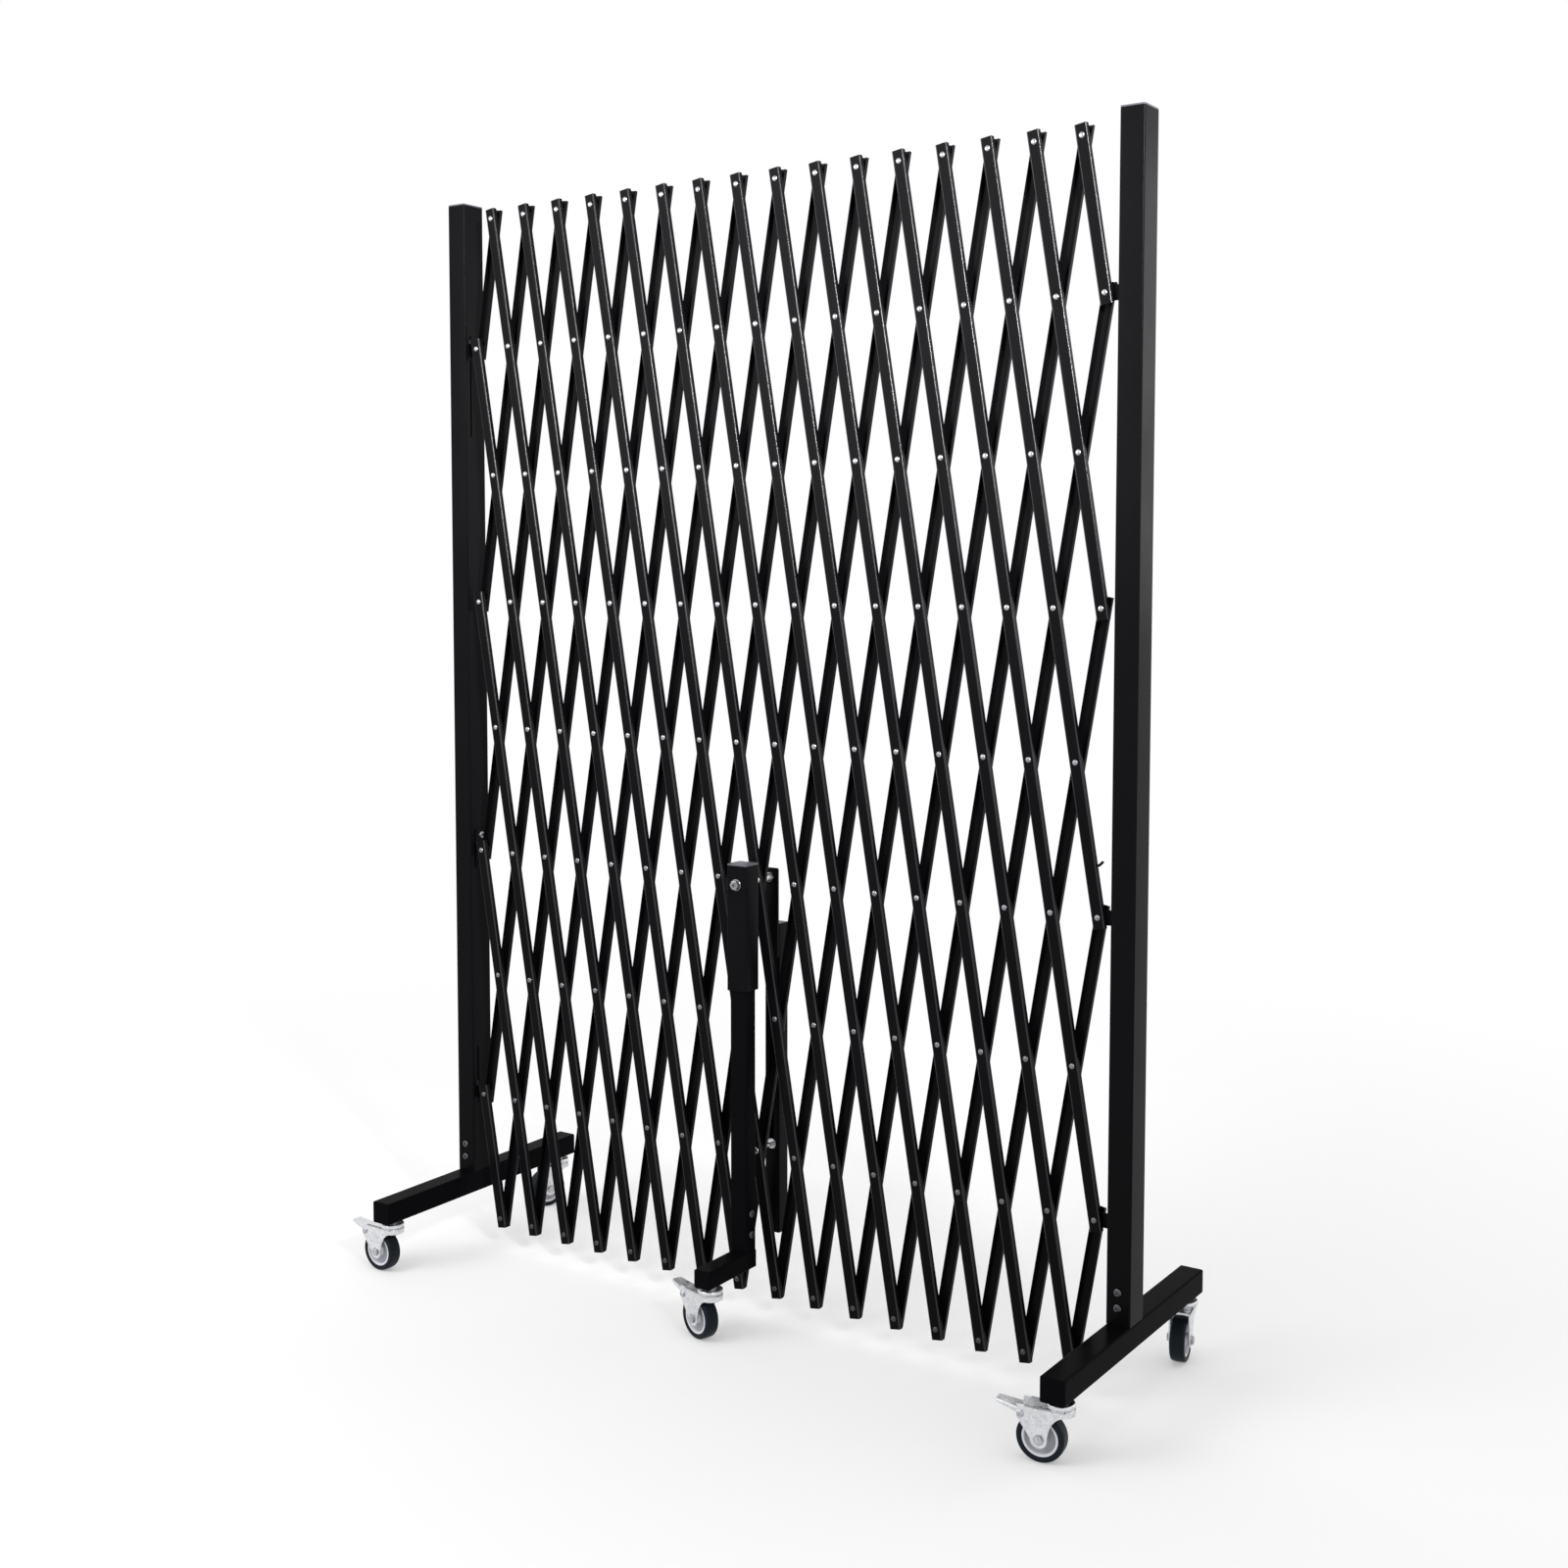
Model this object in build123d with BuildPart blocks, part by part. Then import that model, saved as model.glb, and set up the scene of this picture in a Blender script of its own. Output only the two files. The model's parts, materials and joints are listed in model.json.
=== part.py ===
from build123d import *

import os
from math import cos, radians, sin, sqrt

# Expandable safety barrier, in millimetres and degrees.
# X runs along the lattice, Y from the front to the rear and Z up.
# The origin lies on the floor, in the middle of the space that the standing barrier takes up.

# Lattice
row_count = 9
column_count = 16
rivet_step = 242.3
lean = 9.44
closed_lean = 2.7
open_lean = 33.6
lowest_row_height = 59.2
layer_gap = 4.0
pivot_row = 5
slider_rows = {"upper": 1, "lower": 7}
guide_row = 7

# Bars
bar_width = 20.0
bar_depth = 9.0
bar_wall = 1.5
bar_bend = 2.0
bar_overrun = 18.0

# Rivets
rivet_radius = 3.0
rivet_head_radius = 4.8
rivet_head_height = 2.2
rivet_head_round = 1.9
collar_radius = 5.0

# Clearances
turning_fit = 0.1
running_gap = 0.3
cut_overrun = 2.0

# End stands
post_side = 40.0
post_depth = 54.0
post_wall = 2.0
tube_corner = 3.0
post_reach = 43.5
post_set_back = 12.0
post_overrun = 34.8
foot_side = 40.0
foot_wall = 2.0
foot_front_reach = 262.5
foot_rear_reach = 282.7
stub_height = 80.0
stub_gap = 0.4
cap_height = 3.0
plug_depth = 12.0
plug_wall = 3.0
plug_gap = 0.2
post_bolt_heights = (29.0, 54.0)

# Brackets and sliders between the lattice and the posts
tab_height = 24.0
tab_wall = 3.0
slot_side_gap = 0.5
slot_end_gap = 3.0
slider_height = 40.0
bracket_height = 76.0
bracket_width = 28.0
bracket_wall = 3.0
bracket_bolt_spacing = 52.0

# Bolts
bolt_head_radius = 6.5
bolt_head_height = 4.0
bolt_head_round = 2.0
bolt_radius = 3.5
bolt_bite = 9.0

# Centre stand
leg_side = 32.0
leg_wall = 2.0
leg_overrun = 29.0
sleeve_side = 40.0
sleeve_gap = 0.2
sleeve_overrun = 35.0
sleeve_length = 220.0
leg_front_reach = 70.0
centre_foot_side = 32.0
centre_foot_front_reach = 175.0
centre_foot_rear_gap = 1.0
leg_bolt_heights = (30.5, 67.0)  # above the centre foot

# Pivot bolt
pivot_radius = 5.0
pivot_washer_radius = 10.0
pivot_washer_wall = 2.0
pivot_head_radius = 8.5
pivot_head_height = 6.0
pivot_spacer_radius = 9.0
inner_spacer_radius = 7.5
nut_radius = 9.5
nut_height = 8.0
thread_overrun = 3.0
rear_spacer_end = 28.0

# Rear guide
guide_side = 30.0
guide_wall = 2.0
guide_top_drop = 83.0
guide_bottom_drop = 160.0
tongue_wall = 5.0
tongue_overrun = 16.0
tongue_lap = 60.0
guide_pin_radius = 4.0
guide_slot_gap = 0.3
guide_pin_bite = 8.0
guide_collar_radius = 9.0
guide_collar_wall = 3.0
guide_collar_gap = 1.2

# Latch stud on one bar at the right edge
latch_bar_number = 18
latch_height = 80.0
latch_radius = 2.2
latch_standoff = 4.0
latch_length = 9.0
latch_lean = 45.0

# Casters
caster_height = 100.0
wheel_radius = 37.5
wheel_width = 25.0
tyre_depth = 9.0
tyre_round = 4.0
hub_width = 28.0
hub_rim_inset = 1.5
hub_boss_radius = 10.0
hub_groove_wall = 4.5
hub_groove_depth = 5.0
trail = 28.0
axle_radius = 5.0
axle_head_radius = 8.0
axle_head_height = 4.5
axle_lug_radius = 13.0
fork_wall = 2.5
fork_side_gap = 1.0
crown_gap = 8.0
crown_wall = 3.0
crown_rear_reach = 50.0
skirt_height = 9.0
head_radius = 22.0
race_radius = 20.0
race_height = 3.0
rim_height = 6.0
rim_round = 2.0
stem_radius = 6.0
stem_head_radius = 9.0
stem_head_height = 3.0
stem_collar_radius = 11.0
stem_nut_radius = 10.5
stem_nut_height = 8.0
end_stem_inset = 30.0
centre_stem_inset = 25.0

# Brake pedals
pedal_pin_radius = 2.5
pedal_pin_reach = 56.0
pedal_pin_height = 72.0
pedal_boss_radius = 5.5
pedal_lobe_reach = 8.2
pedal_lobe_lean = 14.0
pedal_reach = 97.0
pedal_tip_height = 84.0
pedal_tip_wall = 4.0
pedal_root_wall = 9.5
pedal_tip_width = 20.0
pin_lug_radius = 6.0

# Casters: which stand (-1 left, 0 centre, 1 right), the end of its foot, the heading
# of the wheel from +X seen from above, and whether it has a brake
casters = {
    "left_front": (-1, "front", 178.0, True),
    "left_rear": (-1, "rear", 250.0, False),
    "right_front": (1, "front", 187.0, True),
    "right_rear": (1, "rear", 280.0, False),
    "centre": (0, "front", 162.0, True),
}

# Places that follow from the sizes
row_pitch = rivet_step * cos(radians(lean))
column_pitch = 2 * rivet_step * sin(radians(lean))
middle_column = (column_count - 1) / 2
bars_in_a_layer = column_count + (row_count - 1) // 2
centre_x = (pedal_reach - post_side / 2) / 2
post_offset = column_count / 2 * column_pitch + post_reach
lattice_y = (foot_front_reach - foot_rear_reach) / 2 - post_set_back
post_y = lattice_y + post_set_back
outer_face = layer_gap / 2 + bar_depth
foot_top = caster_height + foot_side
centre_foot_top = caster_height + centre_foot_side
cavity = post_side - 2 * post_wall
cavity_depth = post_depth - 2 * post_wall
sleeve_wall = (sleeve_side - leg_side) / 2 - sleeve_gap
leg_y = lattice_y - leg_front_reach + sleeve_side / 2
guide_front = rear_spacer_end + nut_height + tongue_wall
guide_y = lattice_y + guide_front + guide_side / 2
axle_height = wheel_radius
crown_base = 2 * wheel_radius + crown_gap
crown_top = crown_base + crown_wall
fork_top = crown_top + race_height + rim_height
fork_gap = hub_width + 2 * fork_side_gap
fork_half = fork_gap / 2 + fork_wall
leg_front = -sqrt(head_radius**2 - fork_half**2)


def column_x(column):
    """Place a column of rivets along the lattice."""
    return centre_x + (column - middle_column) * column_pitch


def row_z(row):
    """Give the height of a row of rivets above the floor."""
    return lowest_row_height + (row_count - 1 - row) * row_pitch


def row_rise(row, angle):
    """Give the height of a row above the pivot row when the bars lean by an angle."""
    return (pivot_row - row) * rivet_step * cos(radians(angle))


def row_travel(row):
    """Give how far a row rises and drops as the lattice goes to its two limits."""
    rest = row_rise(row, lean)
    ends = [row_rise(row, angle) - rest for angle in (closed_lean, open_lean)]
    return max(ends), -min(ends)


def across(y):
    """Give the upright plane at a depth, whose sketches are drawn in X and Z."""
    return Plane.XZ.offset(-y)


def bar_crossings(layer, number):
    """List the columns and rows that a bar is riveted at, from its top down."""
    first = number - 1 - ((row_count - 1) // 2 if layer > 0 else 0)
    places = [(first + layer * row / 2, row) for row in range(row_count)]
    return [(column, row) for column, row in places if -0.5 <= column <= column_count - 0.5]


def is_pivot(column, row):
    """Say whether a crossing turns on the bolt of the centre stand."""
    return row == pivot_row and column == middle_column


def is_guide(column, row):
    """Say whether a crossing holds the pin that slides in the rear guide."""
    return row == guide_row and column == middle_column


def pin_radius(column, row):
    """Give the radius of what passes through a crossing."""
    if is_pivot(column, row):
        return pivot_radius
    if is_guide(column, row):
        return guide_pin_radius
    return rivet_radius


def make_channel(crossings, layer):
    """Make one bar, a channel whose open side faces the other layer, bored at its crossings."""
    tilt = radians(lean)
    column, row = crossings[-1]
    low_x = column_x(column) + layer * bar_overrun * sin(tilt)
    low_z = row_z(row) - bar_overrun * cos(tilt)
    section_plane = Plane(
        origin=(low_x, lattice_y, low_z),
        x_dir=(cos(tilt), 0, layer * sin(tilt)),
        z_dir=(-layer * sin(tilt), 0, cos(tilt)),
    )
    inner_width = bar_width - 2 * bar_wall
    inner_depth = bar_depth - bar_wall
    with BuildPart() as channel:
        with BuildSketch(section_plane) as section:
            with Locations((0, -layer * (layer_gap + bar_depth) / 2)):
                Rectangle(bar_width, bar_depth)
            fillet(section.vertices().group_by(Axis.Y)[0 if layer > 0 else -1], bar_bend)
            with Locations((0, -layer * (layer_gap + inner_depth) / 2)):
                Rectangle(inner_width, inner_depth, mode=Mode.SUBTRACT)
        extrude(amount=(len(crossings) - 1) * rivet_step + 2 * bar_overrun)
        for column, row in crossings:
            with BuildSketch(across(lattice_y - layer * outer_face)):
                with Locations((column_x(column), row_z(row))):
                    Circle(pin_radius(column, row) + turning_fit)
            extrude(amount=-layer * bar_depth, mode=Mode.SUBTRACT)
    return channel.part


def make_rivets(crossings):
    """Make the rivets of a front bar, each with a collar that holds the two webs apart."""
    places = [
        (column_x(column), row_z(row))
        for column, row in crossings
        if not is_pivot(column, row) and not is_guide(column, row)
    ]
    web = outer_face - bar_wall
    with BuildPart() as rivets:
        with BuildSketch(across(lattice_y - outer_face)):
            with Locations(*places):
                Circle(rivet_radius)
        extrude(amount=-(2 * outer_face + running_gap))
        with BuildSketch(across(lattice_y - web)):
            with Locations(*places):
                Circle(collar_radius)
        extrude(amount=-(2 * web - running_gap))
        with BuildSketch(across(lattice_y - outer_face)):
            with Locations(*places):
                Circle(rivet_head_radius)
        extrude(amount=rivet_head_height)
        with BuildSketch(across(lattice_y + outer_face + running_gap)):
            with Locations(*places):
                Circle(rivet_head_radius)
        extrude(amount=-rivet_head_height)
        fillet(rivets.edges().group_by(Axis.Y)[0], rivet_head_round)
        fillet(rivets.edges().group_by(Axis.Y)[-1], rivet_head_round)
    return rivets.part


def make_guide_pin(column, row):
    """Make the long pin of the crossing that runs in the slot of the rear guide."""
    place = (column_x(column), row_z(row))
    web = outer_face - bar_wall
    slot_face = guide_front
    with BuildPart() as pin:
        with BuildSketch(across(lattice_y - outer_face)):
            with Locations(place):
                Circle(guide_pin_radius)
        extrude(amount=-(outer_face + slot_face + guide_pin_bite))
        with BuildSketch(across(lattice_y - web)):
            with Locations(place):
                Circle(collar_radius + (guide_pin_radius - rivet_radius))
        extrude(amount=-(2 * web - running_gap))
        with BuildSketch(across(lattice_y - outer_face)):
            with Locations(place):
                Circle(rivet_head_radius + (guide_pin_radius - rivet_radius))
        extrude(amount=rivet_head_height)
        with BuildSketch(across(lattice_y + slot_face - guide_collar_gap)):
            with Locations(place):
                Circle(guide_collar_radius)
        extrude(amount=guide_collar_wall)
        fillet(pin.edges().group_by(Axis.Y)[0], rivet_head_round)
    return pin.part


def make_latch_stud(crossings):
    """Make the small bent stud on the outer side of a bar, above its lowest rivet."""
    tilt = radians(lean)
    column, row = crossings[-1]
    reach = bar_width / 2
    stud_x = column_x(column) - latch_height * sin(tilt) + reach * cos(tilt)
    stud_z = row_z(row) + latch_height * cos(tilt) + reach * sin(tilt)
    stud_y = lattice_y - (layer_gap + bar_depth) / 2
    rise = radians(latch_lean)
    corner = (stud_x + latch_standoff * cos(tilt), stud_y, stud_z + latch_standoff * sin(tilt))
    with BuildPart() as stud:
        with BuildSketch(Plane(origin=(stud_x, stud_y, stud_z), z_dir=(cos(tilt), 0, sin(tilt)))):
            Circle(latch_radius)
        extrude(amount=latch_standoff)
        with BuildSketch(Plane(origin=corner, z_dir=(cos(rise), 0, sin(rise)))):
            Circle(latch_radius)
        extrude(amount=latch_length)
        with Locations(corner):
            Sphere(latch_radius)
    return stud.part


def make_bolts(plane, places, bite):
    """Make domed bolts whose heads rise from a plane and whose shanks go down through it."""
    with BuildPart() as bolts:
        with BuildSketch(plane):
            with Locations(*places):
                Circle(bolt_head_radius)
        extrude(amount=bolt_head_height)
        top = bolts.edges().group_by(Axis(plane.origin, plane.z_dir))[-1]
        fillet(top, bolt_head_round)
        with BuildSketch(plane):
            with Locations(*places):
                Circle(bolt_radius)
        extrude(amount=-bite)
    return bolts.part


def bore(plane, places, radius, depth):
    """Cut round holes down from a plane into the open part."""
    with BuildSketch(plane) as holes:
        with Locations(*places):
            Circle(radius)
    extrude(holes.sketch, amount=-depth, mode=Mode.SUBTRACT)


def tube_section(place, side, depth, wall):
    """Draw a tube's section about a place in the open sketch."""
    with Locations(place):
        RectangleRounded(side, depth, tube_corner)
        Rectangle(side - 2 * wall, depth - 2 * wall, mode=Mode.SUBTRACT)


def make_plug(x, y, z, side, wall, outward):
    """Make the plug of a foot's open end: a plate over the end and a core inside the tube."""
    core = side - 2 * wall - 2 * plug_gap
    with BuildPart() as plug:
        with BuildSketch(across(y)):
            with Locations((x, z)):
                RectangleRounded(side, side, tube_corner)
        extrude(amount=-outward * plug_wall)
        with BuildSketch(across(y)):
            with Locations((x, z)):
                Rectangle(core, core)
        extrude(amount=outward * plug_depth)
    return plug.part


def make_foot(x, front, rear, side, wall, stems):
    """Make a foot: its tube, with a hole for each caster stem, and its two plugs."""
    z = caster_height + side / 2
    with BuildPart() as tube:
        with BuildSketch(across(front + plug_wall)):
            tube_section((x, z), side, side, wall)
        extrude(amount=-(rear - front - 2 * plug_wall))
        below = Plane.XY.offset(caster_height).offset(wall)
        bore(below, [(x, y) for y in stems], stem_radius + turning_fit, wall + cut_overrun)
    return [
        tube.part,
        make_plug(x, front + plug_wall, z, side, wall, -1),
        make_plug(x, rear - plug_wall, z, side, wall, 1),
    ]


def make_stem(x, y, wall):
    """Make a caster's stem, with its head below the fork, its collar and the nut in the foot."""
    with BuildPart() as stem:
        with BuildSketch(Plane.XY.offset(crown_base - running_gap)):
            with Locations((x, y)):
                Circle(stem_head_radius)
        extrude(amount=-stem_head_height)
        with BuildSketch(Plane.XY.offset(crown_base - running_gap)):
            with Locations((x, y)):
                Circle(stem_radius)
        extrude(amount=caster_height + wall + stem_nut_height + thread_overrun - crown_base)
        with BuildSketch(Plane.XY.offset(fork_top + running_gap)):
            with Locations((x, y)):
                Circle(stem_collar_radius)
        extrude(amount=caster_height - fork_top - running_gap)
        with BuildSketch(Plane.XY.offset(caster_height + wall)):
            with Locations((x, y)):
                RegularPolygon(stem_nut_radius, 6)
        extrude(amount=stem_nut_height)
    return stem.part


def foot_ends():
    """Give the depths of the front and rear ends of an end stand's foot."""
    return post_y - foot_front_reach, post_y + foot_rear_reach


def stem_places(side):
    """Give the depths of the caster stems below a stand, front one first."""
    if side == 0:
        return [lattice_y - centre_foot_front_reach + centre_stem_inset]
    front, rear = foot_ends()
    return [front + end_stem_inset, rear - end_stem_inset]


def make_post(x, side):
    """Make an end post, slotted on its inner face for the two sliders."""
    top = row_z(0) + post_overrun - cap_height
    inner_face = Plane.YZ.offset(x - side * post_side / 2)
    front_face = across(post_y - post_depth / 2)
    with BuildPart() as post:
        with BuildSketch(Plane.XY.offset(foot_top)):
            tube_section((x, post_y), post_side, post_depth, post_wall)
        extrude(amount=top - foot_top)
        for row in slider_rows.values():
            rise, drop = row_travel(row)
            length = rise + drop + tab_height + 2 * slot_end_gap
            with BuildSketch(inner_face):
                with Locations((lattice_y, row_z(row) + (rise - drop) / 2)):
                    Rectangle(tab_wall + 2 * slot_side_gap, length)
            extrude(amount=side * (post_wall + cut_overrun), mode=Mode.SUBTRACT)
        bore(
            front_face,
            [(x, foot_top + height) for height in post_bolt_heights],
            bolt_radius + turning_fit,
            post_wall + cut_overrun,
        )
        with BuildSketch(inner_face):
            with Locations(*bracket_bolt_places()):
                Circle(bolt_radius + turning_fit)
        extrude(amount=side * (post_wall + cut_overrun), mode=Mode.SUBTRACT)
    return post.part


def bracket_bolt_places():
    """Give the two bolts of a fixed bracket, in Y and Z on the post's inner face."""
    height = row_z(pivot_row)
    return [
        (post_y, height + half * bracket_bolt_spacing / 2)
        for half in (-1, 1)
    ]


def make_stub(x):
    """Make the stub on the foot that the post stands over."""
    depth = cavity_depth - 2 * stub_gap
    with BuildPart() as stub:
        with BuildSketch(Plane.XY.offset(foot_top)):
            with Locations((x, post_y)):
                Rectangle(cavity - 2 * stub_gap, depth)
        extrude(amount=stub_height)
        bore(
            across(post_y - depth / 2),
            [(x, foot_top + height) for height in post_bolt_heights],
            bolt_radius + turning_fit,
            bolt_bite,
        )
    return stub.part


def make_cap(x, y, top, size, core):
    """Make the cap of an upright tube: a plate over its end and a core inside it."""
    with BuildPart() as cap:
        with BuildSketch(Plane.XY.offset(top - cap_height)):
            with Locations((x, y)):
                RectangleRounded(*size, tube_corner)
        extrude(amount=cap_height)
        with BuildSketch(Plane.XY.offset(top - cap_height)):
            with Locations((x, y)):
                Rectangle(*core)
        extrude(amount=-plug_depth)
    return cap.part


def make_tab(side, row, reach):
    """Make a tab about the collar of an edge rivet, reaching out towards the post."""
    x = column_x(middle_column + side * column_count / 2)
    z = row_z(row)
    with BuildPart() as tab:
        with BuildSketch(across(lattice_y - tab_wall / 2)):
            with Locations((x, z)):
                Circle(tab_height / 2)
            with Locations((x + side * reach / 2, z)):
                Rectangle(reach, tab_height)
            with Locations((x, z)):
                Circle(collar_radius + turning_fit, mode=Mode.SUBTRACT)
        extrude(amount=-tab_wall)
    return tab.part


def make_bracket(side):
    """Make a fixed bracket: a tab and the plate by which it is bolted to the post."""
    face = centre_x + side * (post_offset - post_side / 2)
    with BuildPart() as bracket:
        add(make_tab(side, pivot_row, post_reach - post_side / 2 - bracket_wall))
        with BuildSketch(Plane.YZ.offset(face)):
            with Locations((post_y, row_z(pivot_row))):
                RectangleRounded(bracket_width, bracket_height, tube_corner)
            with Locations(*bracket_bolt_places()):
                Circle(bolt_radius + turning_fit, mode=Mode.SUBTRACT)
        extrude(amount=-side * bracket_wall)
    return bracket.part


def make_bracket_bolts(side):
    """Make the two bolts that hold a fixed bracket to its post."""
    face = centre_x + side * (post_offset - post_side / 2 - bracket_wall)
    plane = Plane(origin=(face, 0, 0), x_dir=(0, -side, 0), z_dir=(-side, 0, 0))
    places = [(-side * y, z) for y, z in bracket_bolt_places()]
    return make_bolts(plane, places, bolt_bite)


def make_end_stand(side):
    """Make the pieces of an end stand that don't move against each other."""
    x = centre_x + side * post_offset
    front, rear = foot_ends()
    top = row_z(0) + post_overrun
    heights = [(x, foot_top + height) for height in post_bolt_heights]
    stems = stem_places(side)
    core = (cavity - 2 * plug_gap, cavity_depth - 2 * plug_gap)
    return [
        *make_foot(x, front, rear, foot_side, foot_wall, stems),
        make_post(x, side),
        make_stub(x),
        make_cap(x, post_y, top, (post_side, post_depth), core),
        make_bracket(side),
        make_bracket_bolts(side),
        make_bolts(across(post_y - post_depth / 2), heights, bolt_bite),
        *[make_stem(x, y, foot_wall) for y in stems],
    ]


def make_slider(side, row):
    """Make a slider: the tab on an edge rivet and the block that runs inside the post."""
    x = centre_x + side * post_offset
    width = cavity - 2 * running_gap
    reach = post_reach - width / 2
    with BuildPart() as block:
        with BuildSketch(Plane.XY.offset(row_z(row) - slider_height / 2)):
            with Locations((x, post_y)):
                Rectangle(width, cavity_depth - 2 * running_gap)
        extrude(amount=slider_height)
    return [make_tab(side, row, reach), block.part]


def make_ring(start, end, outer, inner, z):
    """Make a ring about the pivot bolt or pin, from one depth to another."""
    with BuildPart() as ring:
        with BuildSketch(across(lattice_y + start)):
            with Locations((centre_x, z)):
                Circle(outer)
                Circle(inner, mode=Mode.SUBTRACT)
        extrude(amount=-(end - start))
    return ring.part


def make_nut(start, z):
    """Make a nut of the pivot bolt, whose front is at a depth."""
    with BuildPart() as nut:
        with BuildSketch(across(lattice_y + start)):
            with Locations((centre_x, z)):
                RegularPolygon(nut_radius, 6)
                Circle(pivot_radius, mode=Mode.SUBTRACT)
        extrude(amount=-nut_height)
    return nut.part


def make_pivot_bolt(z):
    """Make the bolt that carries the lattice, with its washer under its head."""
    face = lattice_y - leg_front_reach
    end = guide_front + nut_height + thread_overrun
    with BuildPart() as bolt:
        with BuildSketch(across(face)):
            with Locations((centre_x, z)):
                Circle(pivot_radius)
        extrude(amount=-(leg_front_reach + end))
        with BuildSketch(across(face)):
            with Locations((centre_x, z)):
                Circle(pivot_washer_radius)
        extrude(amount=pivot_washer_wall)
        with BuildSketch(across(face - pivot_washer_wall)):
            with Locations((centre_x, z)):
                RegularPolygon(pivot_head_radius, 6)
        extrude(amount=pivot_head_height)
    return bolt.part


def make_upright(y, base, top, side, wall, hole_z):
    """Make a square upright of the centre stand, bored for the pivot bolt."""
    with BuildPart() as upright:
        with BuildSketch(Plane.XY.offset(base)):
            tube_section((centre_x, y), side, side, wall)
        extrude(amount=top - base)
        bore(across(y - side), [(centre_x, hole_z)], pivot_radius + turning_fit, 2 * side)
    return upright.part


def make_leg(top, pivot_z):
    """Make the leg of the centre stand, bored for the pivot bolt and its two side bolts."""
    with BuildPart() as leg:
        add(make_upright(leg_y, centre_foot_top, top, leg_side, leg_wall, pivot_z))
        with BuildSketch(Plane.YZ.offset(centre_x + leg_side / 2)):
            with Locations(*leg_bolt_places()):
                Circle(bolt_radius + turning_fit)
        extrude(amount=-(leg_wall + cut_overrun), mode=Mode.SUBTRACT)
    return leg.part


def leg_bolt_places():
    """Give the two bolts low on the leg's side, in Y and Z."""
    return [(leg_y, centre_foot_top + height) for height in leg_bolt_heights]


def make_guide(z):
    """Make the rear guide, a tube whose front wall is slotted for the pin of the lattice."""
    rise, drop = row_travel(guide_row)
    top = z - guide_top_drop
    base = row_z(guide_row) - guide_bottom_drop
    reach = guide_pin_radius + guide_slot_gap
    length = rise + drop + 2 * (guide_pin_radius + slot_end_gap)
    core = guide_side - 2 * guide_wall
    with BuildPart() as guide:
        with BuildSketch(Plane.XY.offset(base)):
            tube_section((centre_x, guide_y), guide_side, guide_side, guide_wall)
        extrude(amount=top - base)
        with BuildSketch(across(guide_y - guide_side / 2)):
            with Locations((centre_x, row_z(guide_row) + (rise - drop) / 2)):
                SlotOverall(length, 2 * reach, rotation=90)
        extrude(amount=-(guide_wall + cut_overrun), mode=Mode.SUBTRACT)
    with BuildPart() as closers:
        for height in (base, top - plug_wall):
            with BuildSketch(Plane.XY.offset(height)):
                with Locations((centre_x, guide_y)):
                    Rectangle(core, core)
            extrude(amount=plug_wall)
    return [guide.part, closers.part]


def make_tongue(z):
    """Make the flat tongue that hangs the rear guide from the pivot bolt."""
    base = z - guide_top_drop - tongue_lap
    top = z + tongue_overrun
    with BuildPart() as tongue:
        with BuildSketch(across(guide_y - guide_side / 2 - tongue_wall)):
            with Locations((centre_x, (base + top) / 2)):
                RectangleRounded(guide_side, top - base, tube_corner)
            with Locations((centre_x, z)):
                Circle(pivot_radius + turning_fit, mode=Mode.SUBTRACT)
        extrude(amount=-tongue_wall)
    return tongue.part


def make_centre_stand():
    """Make the pieces of the centre stand that don't move against each other."""
    z = row_z(pivot_row)
    front = lattice_y - centre_foot_front_reach
    rear = leg_y + leg_side / 2 + centre_foot_rear_gap
    sleeve_top = z + sleeve_overrun - cap_height
    sleeve_base = sleeve_top + cap_height - sleeve_length
    stems = stem_places(0)
    side_plane = Plane.YZ.offset(centre_x + leg_side / 2)
    web = outer_face - bar_wall
    core = leg_side - 2 * leg_wall
    return [
        *make_foot(centre_x, front, rear, centre_foot_side, leg_wall, stems),
        make_leg(z + leg_overrun - plug_depth, z),
        make_upright(leg_y, sleeve_base, sleeve_top, sleeve_side, sleeve_wall, z),
        make_cap(
            centre_x, leg_y, sleeve_top + cap_height, (sleeve_side, sleeve_side), (core, core)
        ),
        make_bolts(side_plane, leg_bolt_places(), bolt_bite),
        make_pivot_bolt(z),
        make_ring(
            sleeve_side - leg_front_reach,
            -outer_face - running_gap,
            pivot_spacer_radius,
            pivot_radius,
            z,
        ),
        make_ring(-web + running_gap, web - running_gap, inner_spacer_radius, pivot_radius, z),
        make_ring(outer_face + running_gap, rear_spacer_end, inner_spacer_radius, pivot_radius, z),
        make_nut(rear_spacer_end, z),
        make_tongue(z),
        make_nut(guide_front, z),
        *make_guide(z),
        make_stem(centre_x, stems[0], leg_wall),
    ]


def caster_plane(x, y, heading, offset):
    """Give the upright plane of a caster, drawn in reach and height, set off to one side."""
    turn = radians(heading)
    plane = Plane(
        origin=(x, y, 0),
        x_dir=(cos(turn), sin(turn), 0),
        z_dir=(sin(turn), -cos(turn), 0),
    )
    return plane.offset(offset)


def caster_floor(x, y, heading, height):
    """Give the level plane of a caster at a height, drawn in reach and to one side."""
    turn = radians(heading)
    return Plane(origin=(x, y, height), x_dir=(cos(turn), sin(turn), 0), z_dir=(0, 0, 1))


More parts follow.
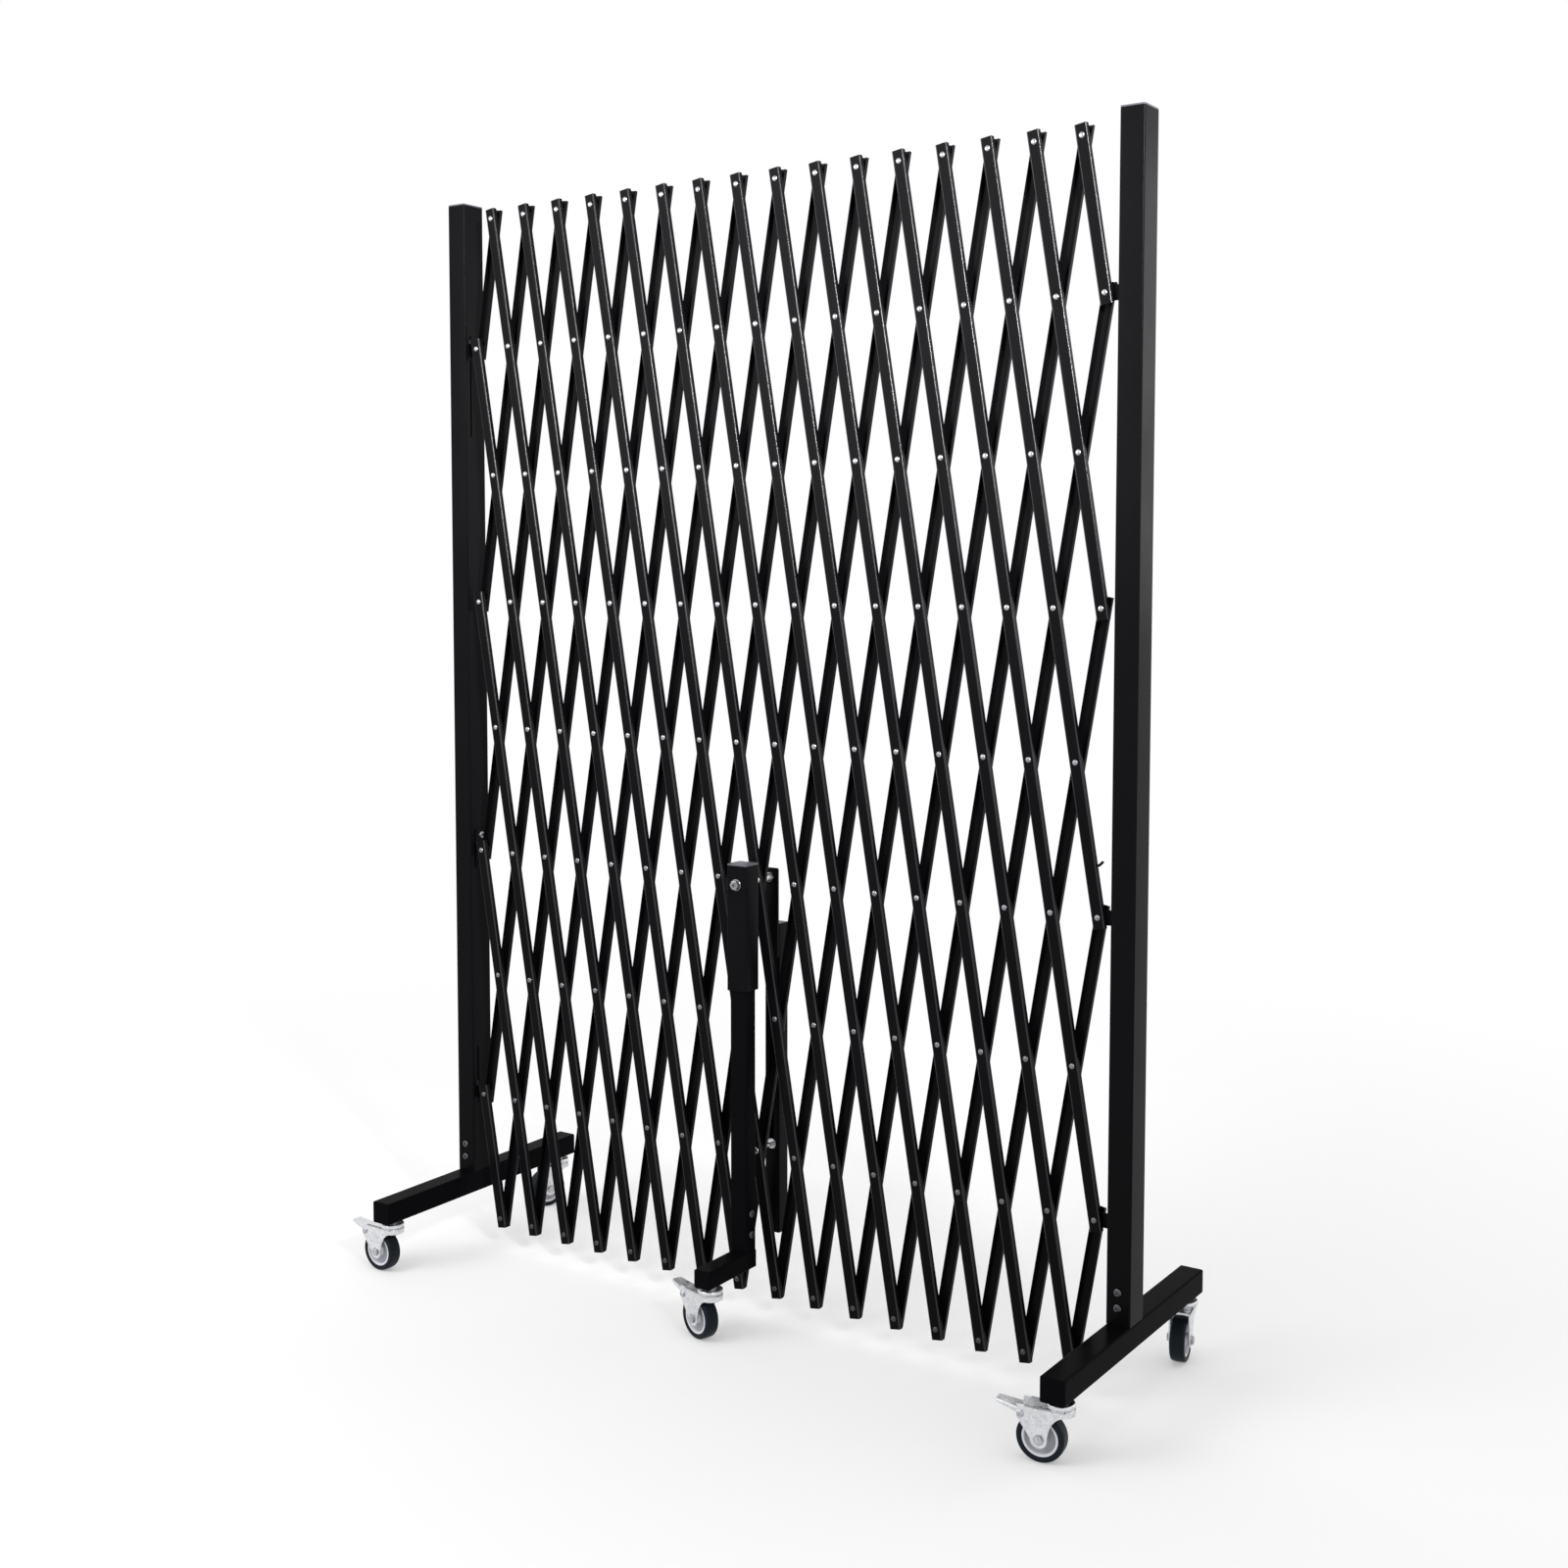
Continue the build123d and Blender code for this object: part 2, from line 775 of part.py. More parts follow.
def draw_fork_leg(braked):
    """Draw the side of a fork in the open sketch, with the holes for its axle and pedal pin."""
    rear = trail + axle_lug_radius
    corners = [(rear, crown_top)]
    if braked:
        reach = pedal_pin_reach + pin_lug_radius
        corners = [(reach, crown_top), (reach, pedal_pin_height - pin_lug_radius)]
    Polygon(
        (leg_front, crown_top),
        *corners,
        (rear, axle_height),
        (leg_front, axle_height),
        align=None,
    )
    with Locations((leg_front, axle_height)):
        Ellipse(
            trail - axle_lug_radius - leg_front,
            crown_top - skirt_height - axle_height,
            mode=Mode.SUBTRACT,
        )
    with Locations((trail, axle_height)):
        Circle(axle_lug_radius)
        Circle(axle_radius, mode=Mode.SUBTRACT)
    if braked:
        with Locations((pedal_pin_reach, pedal_pin_height)):
            Circle(pedal_pin_radius, mode=Mode.SUBTRACT)


def make_fork(x, y, heading, braked):
    """Make a caster's fork: its legs, crown, skirt and bearing race, bored for the stem."""
    crown_end = crown_rear_reach if braked else trail + axle_lug_radius
    with BuildPart() as fork:
        for offset in (fork_gap / 2, -fork_half):
            with BuildSketch(caster_plane(x, y, heading, offset)):
                draw_fork_leg(braked)
            extrude(amount=fork_wall)
        with BuildSketch(caster_floor(x, y, heading, crown_base)):
            Circle(head_radius)
            with Locations((crown_end / 2, 0)):
                Rectangle(crown_end, 2 * fork_half)
        extrude(amount=crown_wall)
        with BuildSketch(caster_floor(x, y, heading, crown_top)):
            Circle(head_radius)
            Circle(head_radius - fork_wall, mode=Mode.SUBTRACT)
            with Locations((head_radius / 2, 0)):
                Rectangle(head_radius, 2 * head_radius, mode=Mode.SUBTRACT)
        extrude(amount=-skirt_height)
        with BuildSketch(caster_floor(x, y, heading, crown_top)):
            Circle(race_radius)
        extrude(amount=race_height)
        with BuildSketch(caster_floor(x, y, heading, crown_top + race_height)):
            Circle(head_radius)
        extrude(amount=rim_height)
        fillet(fork.edges().group_by(Axis.Z)[-1], rim_round)
        with BuildSketch(caster_floor(x, y, heading, crown_base)):
            Circle(stem_radius + turning_fit)
        extrude(amount=fork_top - crown_base, mode=Mode.SUBTRACT)
    return fork.part


def make_cross_pin(x, y, heading, place, radius, head, head_height):
    """Make a pin across a fork with a flat head on each side."""
    with BuildPart() as pin:
        with BuildSketch(caster_plane(x, y, heading, -fork_half - head_height)):
            with Locations(place):
                Circle(head)
        extrude(amount=head_height)
        with BuildSketch(caster_plane(x, y, heading, -fork_half)):
            with Locations(place):
                Circle(radius)
        extrude(amount=2 * fork_half)
        with BuildSketch(caster_plane(x, y, heading, fork_half)):
            with Locations(place):
                Circle(head)
        extrude(amount=head_height)
    return pin.part


def make_wheel(x, y, heading):
    """Make a caster's wheel: a tyre on a hub that is grooved on both sides."""
    place = (trail, axle_height)
    rim_radius = wheel_radius - tyre_depth
    rim_width = wheel_width - 2 * hub_rim_inset
    with BuildPart() as tyre:
        with BuildSketch(caster_plane(x, y, heading, -wheel_width / 2)):
            with Locations(place):
                Circle(wheel_radius)
        extrude(amount=wheel_width)
        fillet(tyre.edges().filter_by(GeomType.CIRCLE), tyre_round)
        with BuildSketch(caster_plane(x, y, heading, -wheel_width / 2)):
            with Locations(place):
                Circle(rim_radius)
        extrude(amount=wheel_width, mode=Mode.SUBTRACT)
    with BuildPart() as hub:
        with BuildSketch(caster_plane(x, y, heading, -rim_width / 2)):
            with Locations(place):
                Circle(rim_radius)
        extrude(amount=rim_width)
        for offset in (-rim_width / 2, rim_width / 2 - hub_groove_depth):
            with BuildSketch(caster_plane(x, y, heading, offset)):
                with Locations(place):
                    Circle(rim_radius - hub_groove_wall)
                    Circle(hub_boss_radius, mode=Mode.SUBTRACT)
            extrude(amount=hub_groove_depth, mode=Mode.SUBTRACT)
        with BuildSketch(caster_plane(x, y, heading, -hub_width / 2)):
            with Locations(place):
                Circle(hub_boss_radius)
        extrude(amount=hub_width)
        with BuildSketch(caster_plane(x, y, heading, -hub_width / 2)):
            with Locations(place):
                Circle(axle_radius + turning_fit)
        extrude(amount=hub_width, mode=Mode.SUBTRACT)
    return [tyre.part, hub.part]


def make_pedal(x, y, heading):
    """Make a brake pedal: a tongue, the boss about its pin and the lobe that meets the tyre."""
    width = fork_gap - 2 * running_gap
    place = (pedal_pin_reach, pedal_pin_height)
    lobe = radians(pedal_lobe_lean)
    root = pedal_pin_reach + pedal_boss_radius
    with BuildPart() as pedal:
        with BuildSketch(caster_plane(x, y, heading, -width / 2)):
            with BuildLine():
                Polyline(
                    (pedal_pin_reach, pedal_pin_height + pedal_boss_radius),
                    (pedal_reach, pedal_tip_height),
                    (pedal_reach, pedal_tip_height - pedal_tip_wall),
                    (root, pedal_pin_height + pedal_boss_radius - pedal_root_wall),
                    (
                        pedal_pin_reach + pedal_lobe_reach * sin(lobe),
                        pedal_pin_height - pedal_lobe_reach * cos(lobe),
                    ),
                    (pedal_pin_reach - pedal_boss_radius * cos(lobe), pedal_pin_height),
                    close=True,
                )
            make_face()
            with Locations(place):
                Circle(pedal_boss_radius)
                Circle(pedal_pin_radius + turning_fit, mode=Mode.SUBTRACT)
        extrude(amount=width)
        with BuildSketch(caster_floor(x, y, heading, 0)):
            Polygon(
                (0, -width / 2),
                (root, -width / 2),
                (pedal_reach, -pedal_tip_width / 2),
                (pedal_reach, pedal_tip_width / 2),
                (root, width / 2),
                (0, width / 2),
                align=None,
            )
        extrude(amount=caster_height, mode=Mode.INTERSECT)
    return pedal.part


def write(name, pieces):
    """Write one node, whose pieces stay separate solids."""
    node = Compound(label=name, children=pieces)
    export_step(node, f"parts/{name}.step")


os.makedirs("parts", exist_ok=True)

for number in range(1, bars_in_a_layer + 1):
    front = bar_crossings(1, number)
    pieces = [make_channel(front, 1), make_rivets(front)]
    pieces += [make_guide_pin(*place) for place in front if is_guide(*place)]
    if number == latch_bar_number:
        pieces.append(make_latch_stud(front))
    write(f"front_bar_{number:02d}", pieces)
    write(f"back_bar_{number:02d}", [make_channel(bar_crossings(-1, number), -1)])

for side, name in ((-1, "left"), (1, "right")):
    write(f"{name}_stand", make_end_stand(side))
    for level, row in slider_rows.items():
        write(f"{name}_{level}_slider", make_slider(side, row))

write("centre_stand", make_centre_stand())

for name, (side, end, heading, braked) in casters.items():
    x = centre_x + side * post_offset
    y = stem_places(side)[0 if end == "front" else -1]
    axle_place = (trail, axle_height)
    fork_pieces = [
        make_fork(x, y, heading, braked),
        make_cross_pin(x, y, heading, axle_place, axle_radius, axle_head_radius, axle_head_height),
    ]
    if braked:
        pin_place = (pedal_pin_reach, pedal_pin_height)
        fork_pieces.append(
            make_cross_pin(
                x, y, heading, pin_place, pedal_pin_radius, pedal_boss_radius, fork_wall
            )
        )
        write(f"{name}_pedal", [make_pedal(x, y, heading)])
    write(f"{name}_fork", fork_pieces)
    write(f"{name}_wheel", make_wheel(x, y, heading))
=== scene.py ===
"""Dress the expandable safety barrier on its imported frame.

All sizes are in metres. X runs along the lattice, Y from the front to the rear and Z up.
The places of the pieces come from the frame's joints, and their sizes from the classes below.
"""

from __future__ import annotations

import json
import logging
from collections.abc import Callable
from dataclasses import dataclass
from enum import Enum
from functools import cache
from math import asin, cos, pi, radians, sin, sqrt, tau

import bmesh
import bpy
from mathutils import Matrix, Vector

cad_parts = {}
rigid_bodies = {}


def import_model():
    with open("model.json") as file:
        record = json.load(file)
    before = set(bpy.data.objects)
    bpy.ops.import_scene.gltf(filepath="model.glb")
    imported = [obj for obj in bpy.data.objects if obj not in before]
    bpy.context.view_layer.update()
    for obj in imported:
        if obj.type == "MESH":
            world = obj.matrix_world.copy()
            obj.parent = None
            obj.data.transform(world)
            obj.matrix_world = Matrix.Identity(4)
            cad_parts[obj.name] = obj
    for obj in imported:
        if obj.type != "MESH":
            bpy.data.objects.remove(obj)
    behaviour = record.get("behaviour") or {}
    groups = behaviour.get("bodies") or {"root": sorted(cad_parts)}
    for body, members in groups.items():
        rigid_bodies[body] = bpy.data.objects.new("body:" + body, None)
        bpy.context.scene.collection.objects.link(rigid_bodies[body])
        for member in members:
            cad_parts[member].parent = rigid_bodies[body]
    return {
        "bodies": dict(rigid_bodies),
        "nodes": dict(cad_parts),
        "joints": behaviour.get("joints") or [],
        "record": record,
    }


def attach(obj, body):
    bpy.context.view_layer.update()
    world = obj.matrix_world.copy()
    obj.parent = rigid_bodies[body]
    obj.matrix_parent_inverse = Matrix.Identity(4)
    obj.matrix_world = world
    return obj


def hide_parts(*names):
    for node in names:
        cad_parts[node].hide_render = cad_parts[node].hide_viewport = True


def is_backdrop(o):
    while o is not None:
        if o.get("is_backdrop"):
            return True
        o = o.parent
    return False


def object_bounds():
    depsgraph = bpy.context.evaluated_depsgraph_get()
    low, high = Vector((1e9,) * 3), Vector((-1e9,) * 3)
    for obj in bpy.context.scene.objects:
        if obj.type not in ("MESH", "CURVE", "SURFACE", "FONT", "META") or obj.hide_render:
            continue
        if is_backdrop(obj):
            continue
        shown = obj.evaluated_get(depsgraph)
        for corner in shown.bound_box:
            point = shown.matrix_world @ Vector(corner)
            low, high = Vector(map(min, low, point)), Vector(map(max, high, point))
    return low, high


LOG = logging.getLogger("safety_barrier")
FOOT_BOTTOM = 0.100
TO_FRONT = Vector((0, -1, 0))
TO_REAR = Vector((0, 1, 0))
UP = Vector((0, 0, 1))

# Faces that meet at more than this angle keep a sharp edge
SMOOTH_ANGLE = radians(42)
# Two directions count as parallel when the cosine between them is above this
PARALLEL = 0.99
# The least that a mitred corner is divided by, which keeps a sharp one short
SHARPEST_MITRE = 0.3
# A hexagon's radius over its chamfer, and a tube's wall over its edge and its least inner corner
HEXAGON_CHAMFERS = 9
TUBE_EDGES = 6
TUBE_CORNERS = 4
# The range that most of a noise pattern lies in
NOISE_RANGE = (0.3, 0.7)
# The sockets of a Mix node for colours, and of a Compare node for whole numbers
MIX_SHARE, MIX_DARK, MIX_PALE, MIX_RESULT = 0, 6, 7, 2
COMPARE_FIRST, COMPARE_SECOND = 2, 3

Colour = tuple[float, float, float]
Pair = tuple[float, float]
Outline = list[Pair]

# Heads of rivets and pins, as shares of their radius and of their height
ROUND_HEAD: Outline = [(1.0, 0.0), (1.0, 0.2), (0.87, 0.68), (0.6, 0.93), (0.25, 1.0)]
PIN_HEAD: Outline = [(1.0, 0.0), (1.0, 0.2), (0.85, 0.7), (0.3, 1.0)]
# The waist of a bearing race, as shares of its depth and of its height
RACE_WAIST: Outline = [(0.0, 0.0), (0.0, 0.3), (1.0, 0.5), (0.0, 0.7), (0.0, 1.0)]


class Layer(Enum):
    """The two layers of bars; the value is the way in which a layer leans."""

    FRONT = 1
    BACK = -1


class Side(Enum):
    """The two ends of the barrier; the value points outwards along X."""

    LEFT = -1
    RIGHT = 1


class Brake(Enum):
    """Whether a caster has a brake pedal."""

    NONE = 0
    PEDAL = 1


class Slot(Enum):
    """The record's material slots."""

    FRONT_BAR = "front_bar"
    BACK_BAR = "back_bar"
    STAND = "stand"
    SLIDER = "slider"
    FORK = "caster_fork"
    WHEEL = "caster_wheel"
    PEDAL = "brake_pedal"


# Materials


def wire(
    tree: bpy.types.NodeTree, kind: str, inputs: dict[int | str, object], **settings: object
) -> bpy.types.Node:
    """Add a node to a tree.

    Args:
        tree: The tree.
        kind: The node's type.
        inputs: What goes into its sockets: another socket, or a plain value.
        settings: The node's own settings.

    Returns:
        The node.
    """
    node = tree.nodes.new(kind)
    for key, value in settings.items():
        setattr(node, key, value)
    for key, value in inputs.items():
        if isinstance(value, bpy.types.NodeSocket):
            tree.links.new(value, node.inputs[key])
        else:
            node.inputs[key].default_value = value
    return node


class Shader:
    """A Principled material whose patterns lie on Object coordinates."""

    def __init__(self, name: str) -> None:
        """Start a material.

        Args:
            name: The material's name.
        """
        self.material = bpy.data.materials.new(name)
        self.material.use_nodes = True
        self.tree = self.material.node_tree
        self.surface = self.tree.nodes["Principled BSDF"]
        self.place = wire(self.tree, "ShaderNodeTexCoord", {}).outputs["Object"]

    def noise(
        self, scale: float, detail: float, stretch: Colour = (1, 1, 1)
    ) -> bpy.types.NodeSocket:
        """Add a noise pattern.

        Args:
            scale: Its waves per metre.
            detail: Its octaves.
            stretch: How much the pattern is scaled along each axis.

        Returns:
            The socket of its value, from 0 to 1.
        """
        mapping = wire(self.tree, "ShaderNodeMapping", {"Vector": self.place, "Scale": stretch})
        inputs = {"Vector": mapping.outputs["Vector"], "Scale": scale, "Detail": detail}
        return wire(self.tree, "ShaderNodeTexNoise", inputs).outputs["Fac"]

    def cells(self, scale: float) -> bpy.types.NodeSocket:
        """Add a pattern of crystal cells, each of one tone.

        Args:
            scale: The cells per metre.

        Returns:
            The socket of its tone.
        """
        cells = wire(self.tree, "ShaderNodeTexVoronoi", {"Vector": self.place, "Scale": scale})
        tone = wire(self.tree, "ShaderNodeSeparateColor", {"Color": cells.outputs["Color"]})
        return tone.outputs["Red"]

    def colour(self, value: bpy.types.NodeSocket, dark: Colour, pale: Colour) -> None:
        """Let a pattern blend the base colour between two.

        Args:
            value: The pattern.
            dark: The colour where it is 0.
            pale: The colour where it is 1.
        """
        inputs = {MIX_SHARE: value, MIX_DARK: (*dark, 1), MIX_PALE: (*pale, 1)}
        mix = wire(self.tree, "ShaderNodeMix", inputs, data_type="RGBA")
        self.tree.links.new(mix.outputs[MIX_RESULT], self.surface.inputs["Base Color"])

    def paint_shade_below(self, painted_shade: Colour, height: float) -> None:
        """Let the base colour darken towards the floor, a painted shade for the light that falls
        off lower down.

        Args:
            painted_shade: The darker colour painted at the floor.
            height: The height where it ends.
        """
        base = self.surface.inputs["Base Color"]
        split = wire(self.tree, "ShaderNodeSeparateXYZ", {0: self.place})
        inputs = {"Value": split.outputs["Z"], "From Max": height}
        ramp = wire(self.tree, "ShaderNodeMapRange", inputs)
        unshaded = base.links[0].from_socket
        inputs = {MIX_SHARE: ramp.outputs["Result"], MIX_DARK: (*painted_shade, 1), MIX_PALE: unshaded}
        mix = wire(self.tree, "ShaderNodeMix", inputs, data_type="RGBA")
        self.tree.links.new(mix.outputs[MIX_RESULT], base)

    def roughness(self, value: bpy.types.NodeSocket, low: float, high: float) -> None:
        """Let the middle of a pattern set the roughness.

        Args:
            value: The pattern.
            low: The roughness where it is dark.
            high: The roughness where it is bright.
        """
        inputs = {"Value": value, "To Min": low, "To Max": high}
        inputs["From Min"], inputs["From Max"] = NOISE_RANGE
        ramp = wire(self.tree, "ShaderNodeMapRange", inputs)
        self.tree.links.new(ramp.outputs["Result"], self.surface.inputs["Roughness"])

    def bump(self, value: bpy.types.NodeSocket, strength: float, depth: float) -> None:
        """Let a pattern raise the surface.

        Args:
            value: The pattern.
            strength: The share of the bump that shows.
            depth: The height of the pattern in metres.
        """
        inputs = {"Height": value, "Strength": strength, "Distance": depth}
        bump = wire(self.tree, "ShaderNodeBump", inputs)
        self.tree.links.new(bump.outputs["Normal"], self.surface.inputs["Normal"])

    def fix(self, **values: float) -> None:
        """Set plain numbers on the surface's own sockets, named with _ for each space."""
        for name, value in values.items():
            self.surface.inputs[name.replace("_", " ")].default_value = value


@dataclass(frozen=True)
class Coloured:
    """A coloured surface with faint clouds and a fine grain."""

    name: str
    dark: Colour
    pale: Colour
    smoothest: float
    roughest: float
    specular: float
    cloud_waves: float
    cloud_detail: float
    sheen_detail: float
    grain_waves: float
    grain_share: float
    grain_depth: float
    grain_detail: float = 2

    def material(self) -> bpy.types.Material:
        """Wire the material.

        Returns:
            The material.
        """
        shader = Shader(self.name)
        shader.colour(shader.noise(self.cloud_waves, self.cloud_detail), self.dark, self.pale)
        sheen = shader.noise(2 * self.cloud_waves, self.sheen_detail)
        shader.roughness(sheen, self.smoothest, self.roughest)
        grain = shader.noise(self.grain_waves, self.grain_detail)
        shader.bump(grain, self.grain_share, self.grain_depth)
        shader.fix(Specular_IOR_Level=self.specular)
        return shader.material


@dataclass(frozen=True)
class PowderCoat(Coloured):
    """Black powder coat with a fine orange peel."""

    name: str = "black_powder_coat"
    dark: Colour = (0.0024, 0.0024, 0.0028)
    pale: Colour = (0.0042, 0.0043, 0.0052)
    smoothest: float = 0.22
    roughest: float = 0.32
    specular: float = 0.03
    cloud_waves: float = 5.0
    cloud_detail: float = 3
    sheen_detail: float = 4
    grain_waves: float = 620.0
    grain_share: float = 0.35
    grain_depth: float = 0.00005


@dataclass(frozen=True)
class Moulded(Coloured):
    """Moulded plastic or rubber with a fine grain."""

    cloud_waves: float = 22.0
    cloud_detail: float = 4
    sheen_detail: float = 3
    grain_waves: float = 1400.0
    grain_share: float = 0.4
    grain_depth: float = 0.00006


@dataclass(frozen=True)
class Zinc:
    """Bright zinc plating with faint crystals and fine rolling lines."""

    name: str
    dark: Colour
    pale: Colour
    smoothest: float
    roughest: float
    # Painted shade: a darker colour that the base colour turns to towards the floor, up to the
    # height below; none where that height is 0
    painted_shade: Colour = (0.05, 0.05, 0.055)
    painted_shade_height: float = 0.0
    crystal_waves: float = 260.0
    sheen_waves: float = 260.0 / 3
    sheen_detail: float = 4
    line_waves: float = 900.0
    line_detail: float = 3
    line_stretch: Colour = (1.0, 1.0, 0.12)
    line_share: float = 0.3
    line_depth: float = 0.00003

    def material(self) -> bpy.types.Material:
        """Wire the material.

        Returns:
            The material.
        """
        shader = Shader(self.name)
        shader.colour(shader.cells(self.crystal_waves), self.dark, self.pale)
        # painted shade, darker towards the floor
        if self.painted_shade_height:
            shader.paint_shade_below(self.painted_shade, self.painted_shade_height)
        sheen = shader.noise(self.sheen_waves, self.sheen_detail)
        shader.roughness(sheen, self.smoothest, self.roughest)
        lines = shader.noise(self.line_waves, self.line_detail, self.line_stretch)
        shader.bump(lines, self.line_share, self.line_depth)
        shader.fix(Metallic=1.0)
        return shader.material


class Finish(Enum):
    """The finishes of the barrier."""

    COAT = PowderCoat()
    MATT = PowderCoat("matt_powder_coat", specular=0.006)
    # A paler, glossier coat for the bends of the bars: a painted highlight line along them
    RUBBED = PowderCoat(
        "rubbed_powder_coat", (0.006, 0.006, 0.007), (0.014, 0.014, 0.016), specular=0.35
    )
    # The rivets darken towards the floor up to 1.3 m: painted shade for the light falling off lower
    # down
    RIVET = Zinc("bright_zinc", (0.29, 0.29, 0.31), (0.45, 0.45, 0.47), 0.26, 0.4, painted_shade_height=1.3)
    FORK = Zinc("fork_zinc", (0.60, 0.61, 0.63), (0.76, 0.77, 0.79), 0.22, 0.34)
    STEEL = Zinc("bolt_zinc", (0.36, 0.36, 0.38), (0.58, 0.58, 0.60), 0.25, 0.4)
    CAP = Moulded("black_plastic", (0.060, 0.060, 0.072), (0.085, 0.085, 0.100), 0.38, 0.52, 0.3)
    TYRE = Moulded("dark_rubber", (0.005, 0.007, 0.009), (0.011, 0.016, 0.021), 0.34, 0.5, 0.08)
    HUB = Moulded("grey_nylon", (0.60, 0.60, 0.64), (0.70, 0.70, 0.74), 0.36, 0.5, 0.4)
    # A darker nylon for the hub's groove: painted shade in the recess
    GROOVE = Moulded("groove_nylon", (0.26, 0.26, 0.29), (0.38, 0.38, 0.42), 0.4, 0.55, 0.3)

    @cache
    def material(self) -> bpy.types.Material:
        """Give the finish's material, which is made once."""
        return self.value.material()


# Mesh making


def show(name: str, data: bpy.types.ID) -> bpy.types.Object:
    """Put an object into the scene.

    Args:
        name: Its name.
        data: Its mesh, curve, light or camera.

    Returns:
        The object.
    """
    thing = bpy.data.objects.new(name, data)
    bpy.context.scene.collection.objects.link(thing)
    return thing


def aim(origin: Vector, axis: Vector, across: Vector = UP) -> Matrix:
    """Give a frame at a place, whose Z lies along an axis.

    Args:
        origin: The place.
        axis: The direction of its Z.
        across: A direction that its Y leans to.

    Returns:
        The frame as a matrix.
    """
    forward = axis.normalized()
    if abs(forward.dot(across.normalized())) > PARALLEL:
        across = TO_REAR
    right = across.cross(forward).normalized()
    frame = Matrix((right, forward.cross(right), forward)).transposed().to_4x4()
    frame.translation = origin
    return frame


def arc(centre: Pair, radius: float, start: float, stop: float, steps: int) -> Outline:
    """Give the points of an arc.

    Args:
        centre: Its centre.
        radius: Its radius.
        start: The angle of its first point.
        stop: The angle of its last point.
        steps: The straight runs between them.

    Returns:
        The points.
    """
    angles = [start + (stop - start) * step / steps for step in range(steps + 1)]
    return [(centre[0] + radius * cos(a), centre[1] + radius * sin(a)) for a in angles]


def circle(radius: float, sides: int) -> Outline:
    """Give a round outline, or a regular one of few sides."""
    return arc((0, 0), radius, 0, tau, sides)[:-1]


def rounded_box(width: float, depth: float, radius: float, steps: int = 4) -> Outline:
    """Give a rectangle with round corners.

    Args:
        width: Its size along the first axis.
        depth: Its size along the second axis.
        radius: The radius of its corners.
        steps: The straight runs of each corner.

    Returns:
        Its points, anticlockwise.
    """
    points = []
    for quarter, (right, up) in enumerate(((1, 1), (-1, 1), (-1, -1), (1, -1))):
        centre = (right * (width / 2 - radius), up * (depth / 2 - radius))
        points += arc(centre, radius, quarter * pi / 2, (quarter + 1) * pi / 2, steps)
    return points


def inset(outline: Outline, depth: float) -> Outline:
    """Move each side of an anticlockwise outline inwards.

    Args:
        outline: The outline.
        depth: How far its sides move.

    Returns:
        The smaller outline, with as many points.
    """
    points = [Vector(point) for point in outline]
    moved = []
    for index, point in enumerate(points):
        before = (point - points[index - 1]).normalized()
        after = (points[(index + 1) % len(points)] - point).normalized()
        first = Vector((-before.y, before.x))
        second = Vector((-after.y, after.x))
        share = max(1 + first.dot(second), SHARPEST_MITRE)
        moved.append(tuple(point + (first + second) * depth / share))
    return moved


def channel(half: float, low: float, top: float, wall: float, bend: float, steps: int) -> Outline:
    """Draw a channel of sheet that is open below.

    Args:
        half: Half its width.
        low: The height of its open edges.
        top: The height of its web's outer face.
        wall: Its wall.
        bend: The radius of its bends.
        steps: The straight runs of each bend.

    Returns:
        Its points, clockwise from the lower left.
    """
    inner, web = half - wall, top - wall
    return [
        (-half, low),
        *arc((bend - half, top - bend), bend, pi, pi / 2, steps),
        *arc((half - bend, top - bend), bend, pi / 2, 0, steps),
        (half, low),
        (inner, low),
        (inner, web),
        (-inner, web),
        (-inner, low),
    ]


def dome(shape: Outline, radius: float, base: float, height: float) -> Outline:
    """Give the profile of a domed head.

    Args:
        shape: Its points, as shares of the radius and of the height.
        radius: Its radius.
        base: The height that it stands on.
        height: Its own height.

    Returns:
        The profile, as radius and height.
    """
    return [(radius * across, base + height * rise) for across, rise in shape]


